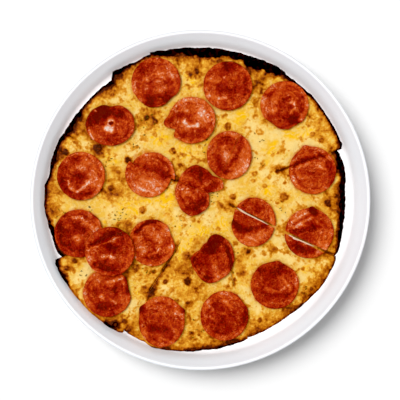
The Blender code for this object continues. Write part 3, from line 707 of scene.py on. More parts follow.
def bakeFields(x, y, fromEdge):
    # how browned, charred, creamy, buttery and stained the top is at each point
    b = baking
    bake = b["level"] + b["broad"] * (clouds(x, y, b["broadSize"], 2.0) - 0.5)
    bake = bake + b["mottle"] * (clouds(x, y, b["mottleSize"], 7.0) - 0.5)
    wx, wy = warped(x, y, 4.5, 8.0, 61.0)
    patch = np.zeros_like(x)
    for px, py, radius, amount in patches:
        cx, cy = fromPhoto(px, py)
        far = ((wx - cx) ** 2 + (wy - cy) ** 2) / (radius * photo["scale"] * 1.15) ** 2
        patch = np.maximum(patch, amount * np.exp(-0.8 * far ** 1.2))
    bake = bake + b["patch"] * patch * (0.5 + 0.9 * clouds(x, y, 4.0, 11.0))
    freckles = ease(0.55, 0.76, clouds(x, y, b["freckleSize"], 71.0, 2))
    bake = bake + b["freckle"] * freckles * (0.3 + clouds(x, y, 20.0, 73.0, 2))
    blister = np.zeros_like(x)
    wobble = 1 + 0.5 * (clouds(x, y, 2.6, 13.0, 2) - 0.5)
    for px, py, radius, amount in blisters:
        cx, cy = fromPhoto(px, py)
        far = np.hypot(x - cx, y - cy) / (radius * photo["scale"] * 0.85 * wobble)
        ring = np.exp(-((far - 0.6) / 0.42) ** 2)
        blister = np.maximum(blister, amount * np.maximum(ring, 0.84 * (1 - ease(0.5, 1.0, far))))
    bake = bake + blister * b["blister"]
    # painted shade along the open cuts, darker on both sides
    broken = 0.6 + 0.8 * clouds(x, y, 5.0, 75.0, 2)
    for x0, y0, x1, y1, half, amount in paintedCutShade:
        far = lineDistance(x, y, (fromPhoto(x0, y0), fromPhoto(x1, y1)))
        bake = bake + amount * np.exp(-((far / (half * photo["scale"] * broken)) ** 2))
    near = 1 - ease(1, b["edgeWidth"], fromEdge)
    width, dark = edgeLook(x, y)
    bake = bake + (b["edge"] + b["darkEdge"] * dark) * near * (0.5 + clouds(x, y, 6.0, 17.0))
    ragged = width * (0.4 + 1.2 * clouds(x, y, 6.0, 19.0))
    char = (1 - ease(0.7, 1.1, fromEdge / ragged)) * dark
    bake = bake + b["halo"] * (1 - ease(0.8, 1.9, fromEdge / ragged)) * (0.15 + 0.85 * dark)
    char = np.maximum(char, ease(0.85, 1.0, blister))
    return {
        "bake": np.clip(bake, 0, 1), "char": np.clip(char, 0, 1), "blister": blister,
        "cream": np.clip(blobs(wx, wy, creams) + 0.8 * (clouds(x, y, 6.0, 51.0) - 0.5), 0, 1),
        "butter": np.clip(blobs(wx, wy, pools) + 0.8 * (clouds(x, y, 5.0, 53.0) - 0.5), 0, 1),
        "stain": greaseStain(x, y) * (0.3 + 1.1 * clouds(x, y, 4.0, 57.0, 2)),
    }


def cheeseHeight(x, y):
    return pizza["cheeseTop"] + pizza["swell"] * softNoise(x, y, pizza["hill"], 3.7)


def cheeseRelief(x, y, fields):
    # curds that melted into low bumps, blisters that rise with a dip at their rim, and a firm browned crust
    relief = 0.6 * (clouds(x, y, 8.0, 29.0, 2) - 0.5) + 0.6 * (clouds(x, y, 3.2, 31.0, 2) - 0.5)
    blister = fields["blister"]
    dip = 0.2 * ease(0, 0.2, blister) * (1 - ease(0.2, 0.4, blister))
    return relief + 0.45 * ease(0.1, 0.75, blister) - dip + 0.25 * (fields["bake"] - 0.4)


cheeseLook = {
    "columns": 150, "rows": 150, "underStep": 6, "lap": 0.42, "bare": 0.58, "edgeThin": 0.35,
    # how far a bridge of cheese and its open edge lean over a cut, and how far an open edge sags
    "bridge": 0.62, "overhang": 0.12, "sag": 0.9,
    "cream": "#FFDC86", "plain": "#F6C146", "butter": "#FFC410", "stain": "#DC7C22",
    "browned": (
        (0.36, "#F4B63C"), (0.47, "#E89E2A"), (0.58, "#D07E18"), (0.68, "#B8620C"), (0.78, "#9A4608"),
        (0.88, "#742806"), (1.0, "#481404"),
    ),
    "char": "#0A0504", "ash": "#2C130C", "crumb": "#E9C78C", "crustSide": "#9A5A22",
    "speck": 2.2, "curd": 0.9, "lump": 4.2, "strand": 9.0,
    "oilRough": 0.22, "dryRough": 0.45, "charRough": 0.75,
    "shine": 0.18, "crustShine": 0.01, "glint": "#FFE6B8",
}
fieldNames = ("bake", "char", "cream", "butter", "stain", "side")


def thinLines(tree, place, size, detail, twist, width, strength):
    # fine lines that wander over a surface, where a noise crosses its middle value
    wander = {"Vector": place, "Scale": 1000 / size, "Detail": detail, "Distortion": twist}
    made = addNode(tree, "ShaderNodeTexNoise", None, wander)
    made = addNode(tree, "ShaderNodeMath", {"operation": "SUBTRACT"}, {0: made, 1: 0.5})
    made = addNode(tree, "ShaderNodeMath", {"operation": "ABSOLUTE"}, {0: made})
    thin = {"Value": made, "From Max": width, "To Min": strength, "To Max": 0.0}
    return addNode(tree, "ShaderNodeMapRange", {"interpolation_type": "SMOOTHSTEP"}, thin)


def bakedMaterial(name, isDough):
    # mozzarella baked on a pan dough: milk proteins brown in freckles, and butterfat lies yellow and shiny
    # in pools
    look = cheeseLook
    made, tree, shader = newMaterial(name)
    place = addNode(tree, "ShaderNodeTexCoord").outputs["Object"]
    field = {}
    for key in fieldNames:
        field[key] = addNode(tree, "ShaderNodeAttribute", {"attribute_name": key}).outputs["Fac"]
    noises, sway = {}, {}
    for key, detail in (("speck", 3.0), ("curd", 2.0), ("lump", 3.0)):
        grains = {"Vector": place, "Scale": 1000 / look[key], "Detail": detail, "Distortion": 0.3}
        noises[key] = addNode(tree, "ShaderNodeTexNoise", None, grains).outputs["Fac"]
        sway[key] = addNode(tree, "ShaderNodeMath", {"operation": "SUBTRACT"}, {0: noises[key], 1: 0.5})
    add = {"operation": "MULTIPLY_ADD"}
    held = {**add, "use_clamp": True}
    mix = {"data_type": "RGBA", "clamp_factor": True}
    soft = {"interpolation_type": "SMOOTHSTEP"}

    # pale, plain and buttery cheese, each with a broken edge
    pale = addNode(tree, "ShaderNodeMath", add, {0: sway["lump"], 1: 1.1, 2: field["cream"]})
    pale = addNode(tree, "ShaderNodeMath", add, {0: sway["curd"], 1: 0.5, 2: pale})
    pale = addNode(tree, "ShaderNodeMapRange", soft, {"Value": pale, "From Min": 0.1, "From Max": 0.9})
    rich = addNode(tree, "ShaderNodeMath", add, {0: sway["lump"], 1: -1.1, 2: field["butter"]})
    rich = addNode(tree, "ShaderNodeMath", add, {0: sway["speck"], 1: 0.7, 2: rich})
    rich = addNode(tree, "ShaderNodeMapRange", soft, {"Value": rich, "From Min": 0.25, "From Max": 0.95})
    # thin pale strands, where the shreds of cheese had lain
    strand = thinLines(tree, place, look["strand"], 2.0, 1.4, 0.09, 0.6)
    greasy = addNode(tree, "ShaderNodeMath", add, {0: sway["speck"], 1: 0.8, 2: field["stain"]})
    greasy = addNode(tree, "ShaderNodeMapRange", soft, {"Value": greasy, "From Min": 0.1, "From Max": 1.1})

    # browning breaks up into freckles the further it has gone
    reach = addNode(tree, "ShaderNodeMath", add, {0: field["bake"], 1: 0.45, 2: 0.32})
    spread = addNode(tree, "ShaderNodeMath", {"operation": "MULTIPLY"}, {0: reach, 1: sway["speck"]})
    brown = addNode(tree, "ShaderNodeMath", {"operation": "ADD"}, {0: spread, 1: field["bake"]})
    brown = addNode(tree, "ShaderNodeMath", held, {0: sway["curd"], 1: 0.22, 2: brown})
    ramp = addNode(tree, "ShaderNodeValToRGB", None, {"Fac": brown})
    setStops(ramp, look["browned"])
    baked = addNode(tree, "ShaderNodeMapRange", soft, {"Value": brown, "From Min": 0.3, "From Max": 0.48})

    # char, with brown ash in it
    edge = addNode(tree, "ShaderNodeMath", add, {0: sway["speck"], 1: 0.6, 2: field["char"]})
    edge = addNode(tree, "ShaderNodeMapRange", soft, {"Value": edge, "From Min": 0.2, "From Max": 0.65})
    burnt = {"Value": noises["lump"], "From Min": 0.46, "From Max": 0.66}
    burnt = addNode(tree, "ShaderNodeMapRange", soft, burnt)
    ashes = {0: burnt, 6: toLinear(look["char"]), 7: toLinear(look["ash"])}
    ashes = addNode(tree, "ShaderNodeMix", mix, ashes)

    # laid over each other in this order
    colour = toLinear(look["plain"])
    for share, over in (
        (pale, toLinear(look["cream"])), (rich, toLinear(look["butter"])), (strand, toLinear(look["cream"])),
        (greasy, toLinear(look["stain"])), (baked, ramp),
        (field["side"], toLinear(look["crustSide"] if isDough else look["crumb"])), (edge, ashes),
    ):
        colour = addNode(tree, "ShaderNodeMix", mix, {0: share, 6: colour, 7: over})

    gloss = {0: rich, 1: look["oilRough"] - look["dryRough"], 2: look["dryRough"]}
    rough = addNode(tree, "ShaderNodeMath", add, gloss)
    dull = {0: edge, 1: look["charRough"] - look["dryRough"], 2: rough}
    rough = addNode(tree, "ShaderNodeMath", held, dull)
    height = addNode(tree, "ShaderNodeMath", add, {0: noises["curd"], 1: 0.4, 2: noises["speck"]})
    height = addNode(tree, "ShaderNodeMath", add, {0: strand, 1: 0.25, 2: height})
    bump = addNode(tree, "ShaderNodeBump", None, {"Strength": 0.8, "Distance": 0.0008, "Height": height})
    shine = look["crustShine"] if isDough else look["shine"]
    setInputs(tree, shader, {
        "Base Color": colour, "Roughness": rough, "Normal": bump, "IOR": 1.45,
        "Specular IOR Level": addNode(tree, "ShaderNodeMath", held, {0: edge, 1: -shine, 2: shine}),
        "Specular Tint": toLinear(look["glint"]),
    })
    return made


def healedShare(cut, reach):
    # 1 where melted cheese bridges that cut, at a distance from the cuts' middle
    share = np.zeros_like(reach)
    for start, end in pizza["healed"][cut]:
        share = np.maximum(share, ease(start - 3, start + 3, reach) * (1 - ease(end - 3, end + 3, reach)))
    return share


def makeCheese(number, material):
    look = cheeseLook
    share, angle, edge, rim, _, x0, y0 = sliceFrame(number, look["columns"])
    lap = edge - rim + look["lap"] * rim
    reach = lap[:, None] * (np.linspace(0, 1, look["rows"]) ** 0.85)[None, :]
    x, y = layOut(angle, reach, x0, y0)
    # the sides lean out over the cut where the cheese has run together again
    side, isFirst, outX, outY = cutSides(number, share, reach)
    healed = np.where(isFirst, healedShare(number - 1, reach), healedShare(number % 8, reach))
    spread = (look["bridge"] * healed + look["overhang"]) * (1 - ease(0, pizza["sideReach"], side))
    x, y = x + outX * spread, y + outY * spread
    fromEdge = edge[:, None] - reach
    fields = bakeFields(x, y, fromEdge)
    z = cheeseHeight(x, y) + cheeseRelief(x, y, fields)
    gaping = (1 - healed) * (1 - ease(0, 2.0, side))
    z = z - look["sag"] * gaping * (1 - ease(0, 1.0, side)) - 0.25 * (1 - ease(0, 1.6, side))
    # painted shade: the cheese is browned further where the cut gapes open
    fields["bake"] = np.clip(fields["bake"] + 0.3 * gaping * clouds(x, y, 7.0, 37.0, 2), 0, 1)
    overlap = ease(0, 1, (fromEdge - look["bare"] * rim) / (0.6 * rim))
    z = z - (1 - overlap) * look["edgeThin"]
    fields["side"] = np.zeros_like(x)
    # down the outside and back under, in wider steps
    low = np.where(fromEdge < rim, z - 0.5, pizza["cheeseBottom"])
    step = -look["underStep"]
    points = np.concatenate([np.stack([x, y, z], -1), np.stack([x, y, low], -1)[:, ::step]], axis=1)
    full = {}
    for key in fieldNames:
        under = np.full_like(x, 1 if key == "side" else 0)[:, ::step]
        full[key] = np.concatenate([fields[key], under], axis=1)
    name = f"meltedCheese{number}"
    addPiece(name, skin(name, points, caps=True, fields=full), material, (f"cheese_{number}",))


crustShape = {
    "columns": 170, "rimSteps": 13, "rough": 0.5, "charRough": 1.3,
    # how far the rim curls over, and from there down the outside: mm in from the edge, and mm up of sideHigh
    "curl": 1.25, "sideHigh": 9.6,
    "side": ((0.15, 8.2), (0.4, 6.6), (0.8, 4.8), (1.4, 3.2), (2.4, 1.7), (3.8, 0.7), (5.6, 0.0)),
    # how far the bread of two slices leans over the cut between them, so that no dish shows through
    "spread": 0.4,
}


def makeCrust(number, material):
    shape = crustShape
    share, angle, edge, rim, rise, x0, y0 = sliceFrame(number, shape["columns"])
    cheeseEdge = edge - rim
    dx, dy = np.cos(angle), np.sin(angle)
    cragged = 0.7 + 0.5 * softNoise(dx * edge, dy * edge, pizza["cragWidth"], 8.1)
    base, dough = pizza["bottom"], pizza["doughTop"]
    top = pizza["cheeseTop"] - pizza["edgeDrop"] + rise * cragged
    rough = shape["rough"] + shape["charRough"] * edgeLook(x0 + dx * edge, y0 + dy * edge)[1]
    # reach and height of each point of the section, from the middle out over the rim and back under
    profile = [(cheeseEdge * part, np.full_like(edge, dough)) for part in (0, 0.3, 0.6, 0.85, 1.0)]
    for part in np.linspace(0.12, 1, shape["rimSteps"]):
        curled = shape["curl"] * ease(0.7, 1.0, part)
        profile.append((cheeseEdge + rim * part, dough + (top - dough) * ease(0.0, 0.5, part) - curled))
    rimEnd = len(profile)
    start = top - shape["curl"]
    for inward, height in shape["side"]:
        profile.append((edge - inward, base + (start - base) * (height / shape["sideHigh"])))
    profile.append((edge * 0, np.full_like(edge, base)))
    reach, z = [np.stack(values, -1) for values in zip(*profile)]
    x, y = layOut(angle, reach, x0, y0)
    # crags, rougher where it is charred
    rimZone = ease(0, 0.6, (reach - cheeseEdge[:, None]) / rim)
    isSide = (np.arange(len(profile)) >= rimEnd)[None, :]
    bumpy = (clouds(x + z, y, 3.4, 41.0) - 0.5) * rough[:, None]
    lump = (clouds(x + z * 0.7, y - z * 0.7, 2.2, 43.0) - 0.5) * rough[:, None]
    out = np.where(isSide, bumpy, bumpy * rimZone) * 0.9
    out[:, -1] = 0
    out[:, -2] *= 0.2
    x, y = x + dx[:, None] * out, y + dy[:, None] * out
    z = z + np.where(isSide, 0, lump * rimZone * 0.9)
    side, _, outX, outY = cutSides(number, share, reach)
    spread = shape["spread"] * (1 - ease(0, pizza["sideReach"], side)) * ease(0, pizza["tipReach"], reach)
    x, y = x + outX * spread, y + outY * spread
    fields = bakeFields(x, y, np.where(isSide, 0, edge[:, None] - reach))
    covered = 1 - ease(-0.1, 0.1, (reach - cheeseEdge[:, None]) / rim)
    fields["bake"] = fields["bake"] + (0.85 - fields["bake"]) * covered
    deep = ease(0, 5.5, start[:, None] - z)
    fields["char"] = np.where(isSide, fields["char"] * (1 - 0.7 * deep), fields["char"])
    fields["side"] = np.where(isSide, 0.25 + 0.6 * deep, 0)
    fields = {key: fields[key] for key in fieldNames}
    name = f"panCrust{number}"
    mesh = skin(name, np.stack([x, y, z], -1), caps=True, fields=fields)
    addPiece(name, mesh, material, (f"crust_{number}",))


pepperoniLook = {
    "turns": 132, "rings": 42, "thick": 1.7, "edge": 1.2, "usualHeight": 18.5, "usualGap": 0.35,
    # folds run round a point that far off the middle, so far apart and so high, all in mm
    "foldOff": 7, "fold": 3.6, "foldHigh": 0.16, "ragged": 0.016,
    # the meat's colours from dark to light; the pale top end, near white, is painted glare on the grease
    "meat": (
        (0.0, "#6A100A"), (0.06, "#7E0F0A"), (0.12, "#8E110C"), (0.23, "#9E1E10"), (0.33, "#B02E13"),
        (0.43, "#C44215"), (0.55, "#D85C1D"), (0.66, "#E46E2E"), (0.78, "#EE8C58"), (1.0, "#F8E0D2"),
    ),
    "palest": 1.4, "grain": 1.9, "clump": 6.5, "pool": 6.0, "crinkle": 5.0,
    "dryRough": 0.42, "oilRough": 0.2, "shine": 0.16, "glint": "#FFA878",
}


def meatMaterial():
    # cured pork sausage, sliced and baked: coarse ground meat and paler fat under a film of red grease
    look = pepperoniLook
    made, tree, shader = newMaterial("pepperoni, sliced and baked")
    place = addNode(tree, "ShaderNodeTexCoord").outputs["Object"]
    value = addNode(tree, "ShaderNodeAttribute", {"attribute_name": "tone"}).outputs["Fac"]
    noises = {}
    for key, detail, twist in (("grain", 3.0, 1.6), ("clump", 2.0, 1.2), ("pool", 2.0, 0.5)):
        grains = {"Vector": place, "Scale": 1000 / look[key], "Detail": detail, "Distortion": twist}
        noises[key] = addNode(tree, "ShaderNodeTexNoise", None, grains).outputs["Fac"]
    # thin crinkles, where the skin of fat has drawn together; the meat is painted lighter along them, partly
    # as pale fat and partly as painted highlight
    crinkle = thinLines(tree, place, look["crinkle"], 2.5, 2.4, 0.05, 1.0)
    add = {"operation": "MULTIPLY_ADD"}
    soft = {"interpolation_type": "SMOOTHSTEP"}
    patchy = {"Value": noises["pool"], "From Min": 0.42, "From Max": 0.62, "To Max": 0.5}
    patchy = addNode(tree, "ShaderNodeMapRange", soft, patchy)
    # lighter along the crinkles in patches: pale fat and painted highlight
    value = addNode(tree, "ShaderNodeMath", add, {0: crinkle, 1: patchy, 2: value})
    for key, amount in (("grain", 1.2), ("clump", 1.0)):
        sway = addNode(tree, "ShaderNodeMath", {"operation": "SUBTRACT"}, {0: noises[key], 1: 0.5})
        value = addNode(tree, "ShaderNodeMath", add, {0: sway, 1: amount, 2: value})
    value = addNode(tree, "ShaderNodeMapRange", None, {"Value": value, "From Max": look["palest"]})
    ramp = addNode(tree, "ShaderNodeValToRGB", None, {"Fac": value})
    setStops(ramp, look["meat"])
    wet = {"Value": noises["pool"], "From Min": 0.35, "From Max": 0.65}
    wet.update({"To Min": look["oilRough"], "To Max": look["dryRough"]})
    height = addNode(tree, "ShaderNodeMath", add, {0: noises["clump"], 1: 1.6, 2: noises["grain"]})
    height = addNode(tree, "ShaderNodeMath", add, {0: crinkle, 1: 0.35, 2: height})
    bump = addNode(tree, "ShaderNodeBump", None, {"Strength": 0.7, "Distance": 0.0007, "Height": height})
    setInputs(tree, shader, {
        "Base Color": ramp, "Roughness": addNode(tree, "ShaderNodeMapRange", None, wet), "Normal": bump,
        "IOR": 1.46,
        "Specular IOR Level": look["shine"], "Specular Tint": toLinear(look["glint"]),
    })
    return made


def topOf(names):
    # the upper surface of those solids, to lay a fine piece in the same place
    points, faces = [], []
    for name in names:
        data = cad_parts[name].data
        start = len(points)
        points.extend(vertex.co.copy() for vertex in data.vertices)
        faces.extend([start + i for i in face.vertices] for face in data.polygons)
    tree = BVHTree.FromPolygons(points, faces)

    def height(x, y):
        hit = tree.ray_cast(Vector((x * mm, y * mm, 1)), Vector((0, 0, -1)))[0]
        return hit.z / mm if hit else None
    return height


def drape(height, x, y, usual):
    # the height of the solid under each point, going on outward from the last one that was found
    z = np.zeros_like(x)
    for i in range(x.shape[0]):
        last = usual
        for j in range(x.shape[1]):
            found = height(x[i, j], y[i, j])
            z[i, j] = last = last if found is None else found
    for _ in range(2):
        z = (np.roll(z, 1, 0) + z * 2 + np.roll(z, -1, 0)) / 4
        z[:, 1:-1] = (z[:, :-2] + z[:, 1:-1] * 2 + z[:, 2:]) / 4
    z[:, 0] = z[:, 0].mean()
    return z


def meatTone(number, spec, seed, x, y, share, fold):
    # how light the meat is: the round's own tone, its marks, painted light and shade along its folds, and
    # the thin collar that cooked lighter, with a darker very edge
    tone = np.full_like(x, 0.5 + spec["tone"] * 0.55) + 0.65 * (clouds(x, y, 13.0, seed + 30) - 0.5)
    # painted light and shade along the folds: lighter on their crests, darker in their hollows
    tone = tone + 0.07 * fold
    wx, wy = warped(x, y, 1.3, 4.0, seed + 20)
    for radius, amount, *points in meatMarksAndPaintedLight[number]:
        far = lineDistance(wx, wy, [fromPhoto(*point) for point in points]) / (radius * photo["scale"])
        tone = tone + amount * np.exp(-0.7 * far ** 2.4)
    collar = share + 0.3 * (clouds(x, y, 9.0, seed + 40, 2) - 0.5)
    lit = 1.7 * clouds(x, y, 14.0, seed + 45, 1)
    tone = tone - 0.05 + 0.17 * ease(0.76, 0.88, collar) * lit - 0.14 * ease(0.95, 1.0, share)
    # painted shade: a thin dark line inside the collar, where it folds over
    return tone - 0.1 * lit * np.exp(-((collar - 0.76) / 0.04) ** 2)


def makeRound(number, spec, material):
    look = pepperoniLook
    height = topOf([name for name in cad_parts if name.startswith(f"pepperoni_{number}")])
    angle = np.linspace(0, math.tau, look["turns"], endpoint=False)
    seed = int(number)
    ragged = clouds(np.cos(angle) * 20, np.sin(angle) * 20, 6.0, seed, 2) - 0.5
    reach = outlineRadius(spec, angle) * (1 + look["ragged"] * ragged * 2)
    wide, deep = spec.get("stretch", (1, 1))
    outX, outY = (wide * np.cos(angle) * reach)[:, None], (deep * np.sin(angle) * reach)[:, None]
    share = (np.linspace(0, 1, look["rings"]) ** 0.8)[None, :]
    for half, cuts in spec.get("halves", {"": ()}).items():
        slide = spec.get("slides", {}).get(half, (0, 0))
        cx, cy = spec["at"][0] + slide[0], spec["at"][1] + slide[1]
        x, y = cx + outX * share, cy + outY * share
        z = drape(height, x, y, height(cx, cy) or look["usualHeight"])
        wave = 0.55 * (clouds(x, y, 7.0, seed + 50, 2) - 0.5) + 0.4 * (clouds(x, y, 2.6, seed + 70, 2) - 0.5)
        curl = 0.35 * ease(0.8, 1.0, share) * (0.4 + 1.2 * clouds(x, y, 9.0, seed + 90, 1))
        # folds that run round where the slice shrank
        offX, offY = look["foldOff"] * math.cos(seed * 2.4), look["foldOff"] * math.sin(seed * 2.4)
        phase = np.hypot(x - cx - offX, y - cy - offY) / look["fold"] + 2.6 * clouds(x, y, 7.0, seed + 11, 2)
        fold = np.sin(phase * math.tau) * ease(0.46, 0.66, clouds(x, y, 9.0, seed + 15, 2))
        z = z + spec["wrinkle"] * (wave + look["foldHigh"] * fold) + curl - 0.15
        tone = meatTone(number, spec, seed, x, y, share, fold)
        # the rounded edge and the underside
        under = -look["thick"]
        grid = [(x, y, z, tone)]
        for s, drop in (
            (1.006, -0.25), (1.008, -0.6), (1.0, -look["edge"]), (0.8, under), (0.4, under), (0.0, under),
        ):
            j = min(share.size - 1, int(np.searchsorted(share[0], min(s, 1))))
            grid.append((cx + outX * s, cy + outY * s, z[:, j:j + 1] + drop, tone[:, j:j + 1]))
        px, py, pz, tone = [np.concatenate(values, axis=1) for values in zip(*grid)]
        points = np.stack([px, py, pz], -1)
        mesh = skin(f"pepperoni{number}{half}", points, around=True, fields={"tone": tone})
        gap = spec.get("gap", look["usualGap"])
        for cut, side in cuts:
            cutAway(mesh, math.radians(pizza["cuts"][cut - 1]), side, slide, gap)
        node = f"pepperoni_{number}" + (f"_{half}" if half else "")
        addPiece(f"pepperoniSlice{number}{half.upper()}", mesh, material, (node,), 50)


def cutAway(mesh, angle, side, slide, gap):
    # keeps one side of a cut, which has slid with its half
    outward = Vector((math.sin(angle), -math.cos(angle), 0)) * side
    x, y = pizza["cutCentre"][0] + slide[0], pizza["cutCentre"][1] + slide[1]
    at = Vector((x * mm, y * mm, 0)) - outward * gap * mm
    bm = openMesh(mesh)
    made = bmesh.ops.bisect_plane(
        bm, geom=bm.verts[:] + bm.edges[:] + bm.faces[:], dist=tiny, plane_co=at, plane_no=outward,
        clear_outer=True,
    )
    rim = [item for item in made["geom_cut"] if isinstance(item, bmesh.types.BMEdge)]
    bmesh.ops.holes_fill(bm, edges=rim, sides=0)
    closeMesh(bm, mesh)


# pale strings of cheese in the cuts of two rounds: picture point and half a width in mm
strings = {
    "11": (
        (237.6, 207.8, 0.4), (243, 211.8, 0.8), (247.5, 214.8, 1.0), (255, 218.3, 0.8), (262, 221.6, 0.65),
        (268, 224.8, 0.3),
    ),
    "12": (
        (289, 235.0, 0.35), (294, 238.2, 0.8), (300, 240.9, 0.9), (307, 243.6, 0.6), (314, 246.4, 0.25),
    ),
}
# mozzarella drawn out into a string: smooth, dense and almost white
stringLook = {
    "name": "mozzarella, drawn into strings", "colour": "#F8DFC6", "shade": "#E9B98C",
    "mottle": 1.2, "grain": 1.2, "bump": 0.4, "depth": 0.0003, "rough": 0.4, "shine": 0.15,
    "high": 0.5, "sides": 8, "steps": 40, "lift": 0.25,
}


def plainMaterial(look):
    # for small things: two shades that run into each other, over a fine grain
    made, tree, shader = newMaterial(look["name"])
    place = addNode(tree, "ShaderNodeTexCoord").outputs["Object"]
    mottle, grain = [
        addNode(tree, "ShaderNodeTexNoise", None, {"Vector": place, "Scale": 1000 / look[size]})
        for size in ("mottle", "grain")
    ]
    shades = {0: mottle, 6: toLinear(look["colour"]), 7: toLinear(look["shade"])}
    relief = {"Strength": look["bump"], "Distance": look["depth"], "Height": grain}
    setInputs(tree, shader, {
        "Base Color": addNode(tree, "ShaderNodeMix", {"data_type": "RGBA"}, shades),
        "Normal": addNode(tree, "ShaderNodeBump", None, relief),
        "Roughness": look["rough"], "Specular IOR Level": look["shine"],
    })
    return made


def makeString(number, material):
    look = stringLook
    height = topOf([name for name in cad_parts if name.startswith(f"pepperoni_{number}")])
    px, py, half = zip(*strings[number])
    along = np.linspace(0, len(px) - 1, look["steps"])
    px, py, half = [np.interp(along, range(len(px)), values) for values in (px, py, half)]
    x, y = fromPhoto(px, py)
    half = half * (0.75 + 0.5 * clouds(x, y, 2.5, 5.0, 2))
    z = np.array([height(a, b) or pizza["cheeseTop"] + 1.2 for a, b in zip(x, y)])
    for _ in range(6):
        z[1:-1] = (z[:-2] + z[1:-1] * 2 + z[2:]) / 4
    dx, dy = np.gradient(x), np.gradient(y)
    long = np.hypot(dx, dy)
    turn = np.linspace(0, math.tau, look["sides"], endpoint=False)
    across = np.cos(turn)[:, None] * half
    up = np.sin(turn)[:, None] * half * look["high"] + look["lift"]
    points = np.stack([x - dy / long * across, y + dx / long * across, z + up], -1)
    name = f"cheeseString{number}"
    mesh = skin(name, points, around=True)
    bm = openMesh(mesh)
    bmesh.ops.holes_fill(bm, edges=bm.edges, sides=0)
    closeMesh(bm, mesh)
    addPiece(name, mesh, material)


# dried herb: picture point, radius in points and how many flakes
herbSpots = (
    (88, 215, 9, 10), (121, 217, 9, 14), (148, 122, 9, 10), (60, 212, 6, 4), (150, 264, 11, 12),
    (213, 197, 7, 9), (230, 268, 10, 8), (262, 160, 9, 5), (243, 250, 8, 5), (300, 290, 8, 4),
    (195, 330, 10, 7), (184, 222, 10, 5), (108, 162, 7, 5), (140, 142, 9, 6), (285, 208, 8, 4),
    (205, 146, 7, 4), (258, 138, 8, 4), (82, 272, 6, 4),
)
# oregano, dried and rubbed: dull olive flakes that scorch brown
herbLook = {
    "name": "oregano, dried and rubbed", "colour": "#866400", "shade": "#5E3C08",
    "mottle": 3.6, "grain": 0.6, "bump": 0.5, "depth": 0.0002, "rough": 0.8, "shine": 0.1,
    "long": 1.8, "wide": 0.75, "thick": 0.16, "lift": 0.2,
    "outline": ((-0.5, 0), (-0.2, 0.5), (0.2, 0.4), (0.5, 0), (0.15, -0.45), (-0.25, -0.5)),
}


def makeHerbs(material):
    look = herbLook
    bm = bmesh.new()
    count = 0
    for px, py, radius, many in herbSpots:
        for _ in range(many):
            count += 1
            turn, far, lean, size = [cell(count * 1.7, part * 2.3, 9.0) for part in range(4)]
            cx, cy = fromPhoto(px, py)
            cx += math.cos(turn * math.tau) * radius * photo["scale"] * math.sqrt(far)
            cy += math.sin(turn * math.tau) * radius * photo["scale"] * math.sqrt(far)
            spot = np.array([cx]), np.array([cy])
            fields = bakeFields(*spot, np.array([60.0]))
            z = float((cheeseHeight(*spot) + cheeseRelief(*spot, fields))[0]) + look["lift"]
            long, wide = look["long"] * (0.5 + size), look["wide"] * (0.6 + 0.8 * far)
            cos, sin = math.cos(lean * 7), math.sin(lean * 7)
            rings = []
            for level in (0.0, look["thick"]):
                ring = []
                for u, v in look["outline"]:
                    along, across = u * long, v * wide + 0.5 * u * u * wide
                    vx, vy = cx + along * cos - across * sin, cy + along * sin + across * cos
                    ring.append(bm.verts.new((vx * mm, vy * mm, (z + level + 0.5 * u * u) * mm)))
                rings.append(ring)
            low, high = rings
            bm.faces.new(high)
            bm.faces.new(low[::-1])
            for i in range(len(low)):
                j = (i + 1) % len(low)
                bm.faces.new((low[i], low[j], high[j], high[i]))
    mesh = bpy.data.meshes.new("driedHerbs")
    closeMesh(bm, mesh)
    addPiece("driedHerbs", mesh, material)


studio = {
    "paper": "#DDDDDD",
    # the room is darker overhead, where the camera hangs, so that level wet things don't mirror white
    "sky": ((0.0, 0.84), (0.5, 0.84), (0.8, 0.46), (0.93, 0.05), (1.0, 0.02)),
    # the window lights the food, the side window and the softbox light the dish, and the lamp lights only
    # the paper, for the dish's shadow
    "window": {"energy": 1.75, "turn": 150, "height": 62, "soft": 30},
    "sideWindow": {"energy": 0.85, "turn": 160, "height": 62, "soft": 30},
    "softbox": {"energy": 2.6, "turn": 135, "height": 88, "soft": 16},
    "lamp": {"energy": 3.7, "turn": 142, "height": 51, "soft": 40},
    "lens": 85, "across": 338.7, "focusHeight": 19.0, "black": 0.006,
}


def makeSun(name, look, receivers):
    # a light that only reaches those objects
    light = bpy.data.lights.new(name, "SUN")
    light.energy = look["energy"]
    light.angle = math.radians(look["soft"])
    lamp = bpy.data.objects.new(name, light)
    turn, up = math.radians(look["turn"]), math.radians(look["height"])
    toward = Vector((math.cos(turn) * math.cos(up), math.sin(turn) * math.cos(up), math.sin(up)))
    lamp.rotation_euler = toward.to_track_quat("Z", "Y").to_euler()
    bpy.context.scene.collection.objects.link(lamp)
    group = bpy.data.collections.new(name + "Reach")
    for item in receivers:
        group.objects.link(item)
    lamp.light_linking.receiver_collection = group


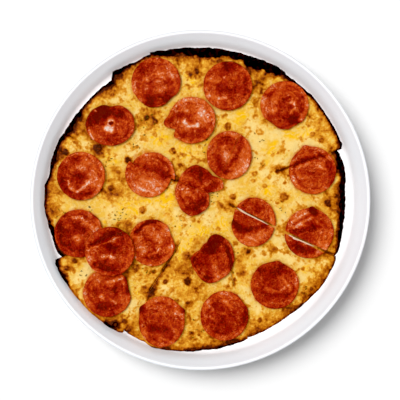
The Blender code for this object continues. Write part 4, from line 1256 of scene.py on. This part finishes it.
def makeStudio():
    s = studio
    mesh = bpy.data.meshes.new("paperSweep")
    bm = bmesh.new()
    bmesh.ops.create_grid(bm, x_segments=1, y_segments=1, size=3)
    bm.to_mesh(mesh)
    bm.free()
    floor = bpy.data.objects.new("paperSweep", mesh)
    floor.location.z = -0.0001
    bpy.context.scene.collection.objects.link(floor)
    paper, tree, shader = newMaterial("white paper sweep, matt")
    setInputs(tree, shader, {"Base Color": toLinear(s["paper"]), "Roughness": 1, "Specular IOR Level": 0})
    mesh.materials.append(paper)

    world = bpy.data.worlds.new("soft white room")
    world.use_nodes = True
    tree = world.node_tree
    background = tree.nodes["Background"]
    aim = addNode(tree, "ShaderNodeTexCoord").outputs["Generated"]
    height = addNode(tree, "ShaderNodeSeparateXYZ", None, {"Vector": aim}).outputs["Z"]
    ramp = addNode(tree, "ShaderNodeValToRGB", None, {"Fac": height})
    elements = ramp.color_ramp.elements
    elements.remove(elements[-1])
    for i, (position, value) in enumerate(s["sky"]):
        stop = elements[0] if i == 0 else elements.new(position)
        stop.position = position
        stop.color = (value, value, value, 1)
    tree.links.new(ramp.outputs["Color"], background.inputs["Color"])
    bpy.context.scene.world = world
    makeSun("lamp", s["lamp"], [floor])
    food = [item for item in bpy.data.objects if item.type == "MESH" and item != floor]
    ware = [item for item in food if item.name == "glazedDish"]
    makeSun("window", s["window"], [item for item in food if item not in ware])
    makeSun("sideWindow", s["sideWindow"], ware)
    makeSun("softbox", s["softbox"], ware)

    lens = bpy.data.cameras.new("overhead")
    lens.lens = s["lens"]
    lens.sensor_width = 36
    camera = bpy.data.objects.new("overhead", lens)
    middle = fromPhoto(200, 200)
    distance = s["across"] * s["lens"] / 36
    camera.location = (middle[0] * mm, middle[1] * mm, (distance + s["focusHeight"]) * mm)
    bpy.context.scene.collection.objects.link(camera)
    bpy.context.scene.camera = camera
    view = bpy.context.scene.view_settings
    view.view_transform = "Standard"
    # the picture's blacks are set as a photographer's levels would, so that the browns and reds stay clean
    view.use_curve_mapping = True
    view.curve_mapping.black_level = (s["black"], s["black"], s["black"])
    view.curve_mapping.update()


makeDish()
print("dish turned")
cheeseFinish = bakedMaterial("mozzarella, melted and browned", False)
crustFinish = bakedMaterial("wheat dough, pan baked", True)
for number in range(1, 9):
    makeCrust(number, crustFinish)
    makeCheese(number, cheeseFinish)
print("crust and cheese laid")
meatFinish = meatMaterial()
for number, spec in rounds.items():
    makeRound(number, spec, meatFinish)
print("pepperoni laid")
stringFinish = plainMaterial(stringLook)
for number in strings:
    makeString(number, stringFinish)
makeHerbs(plainMaterial(herbLook))
print("strings and herbs laid")
makeStudio()
print("studio set")
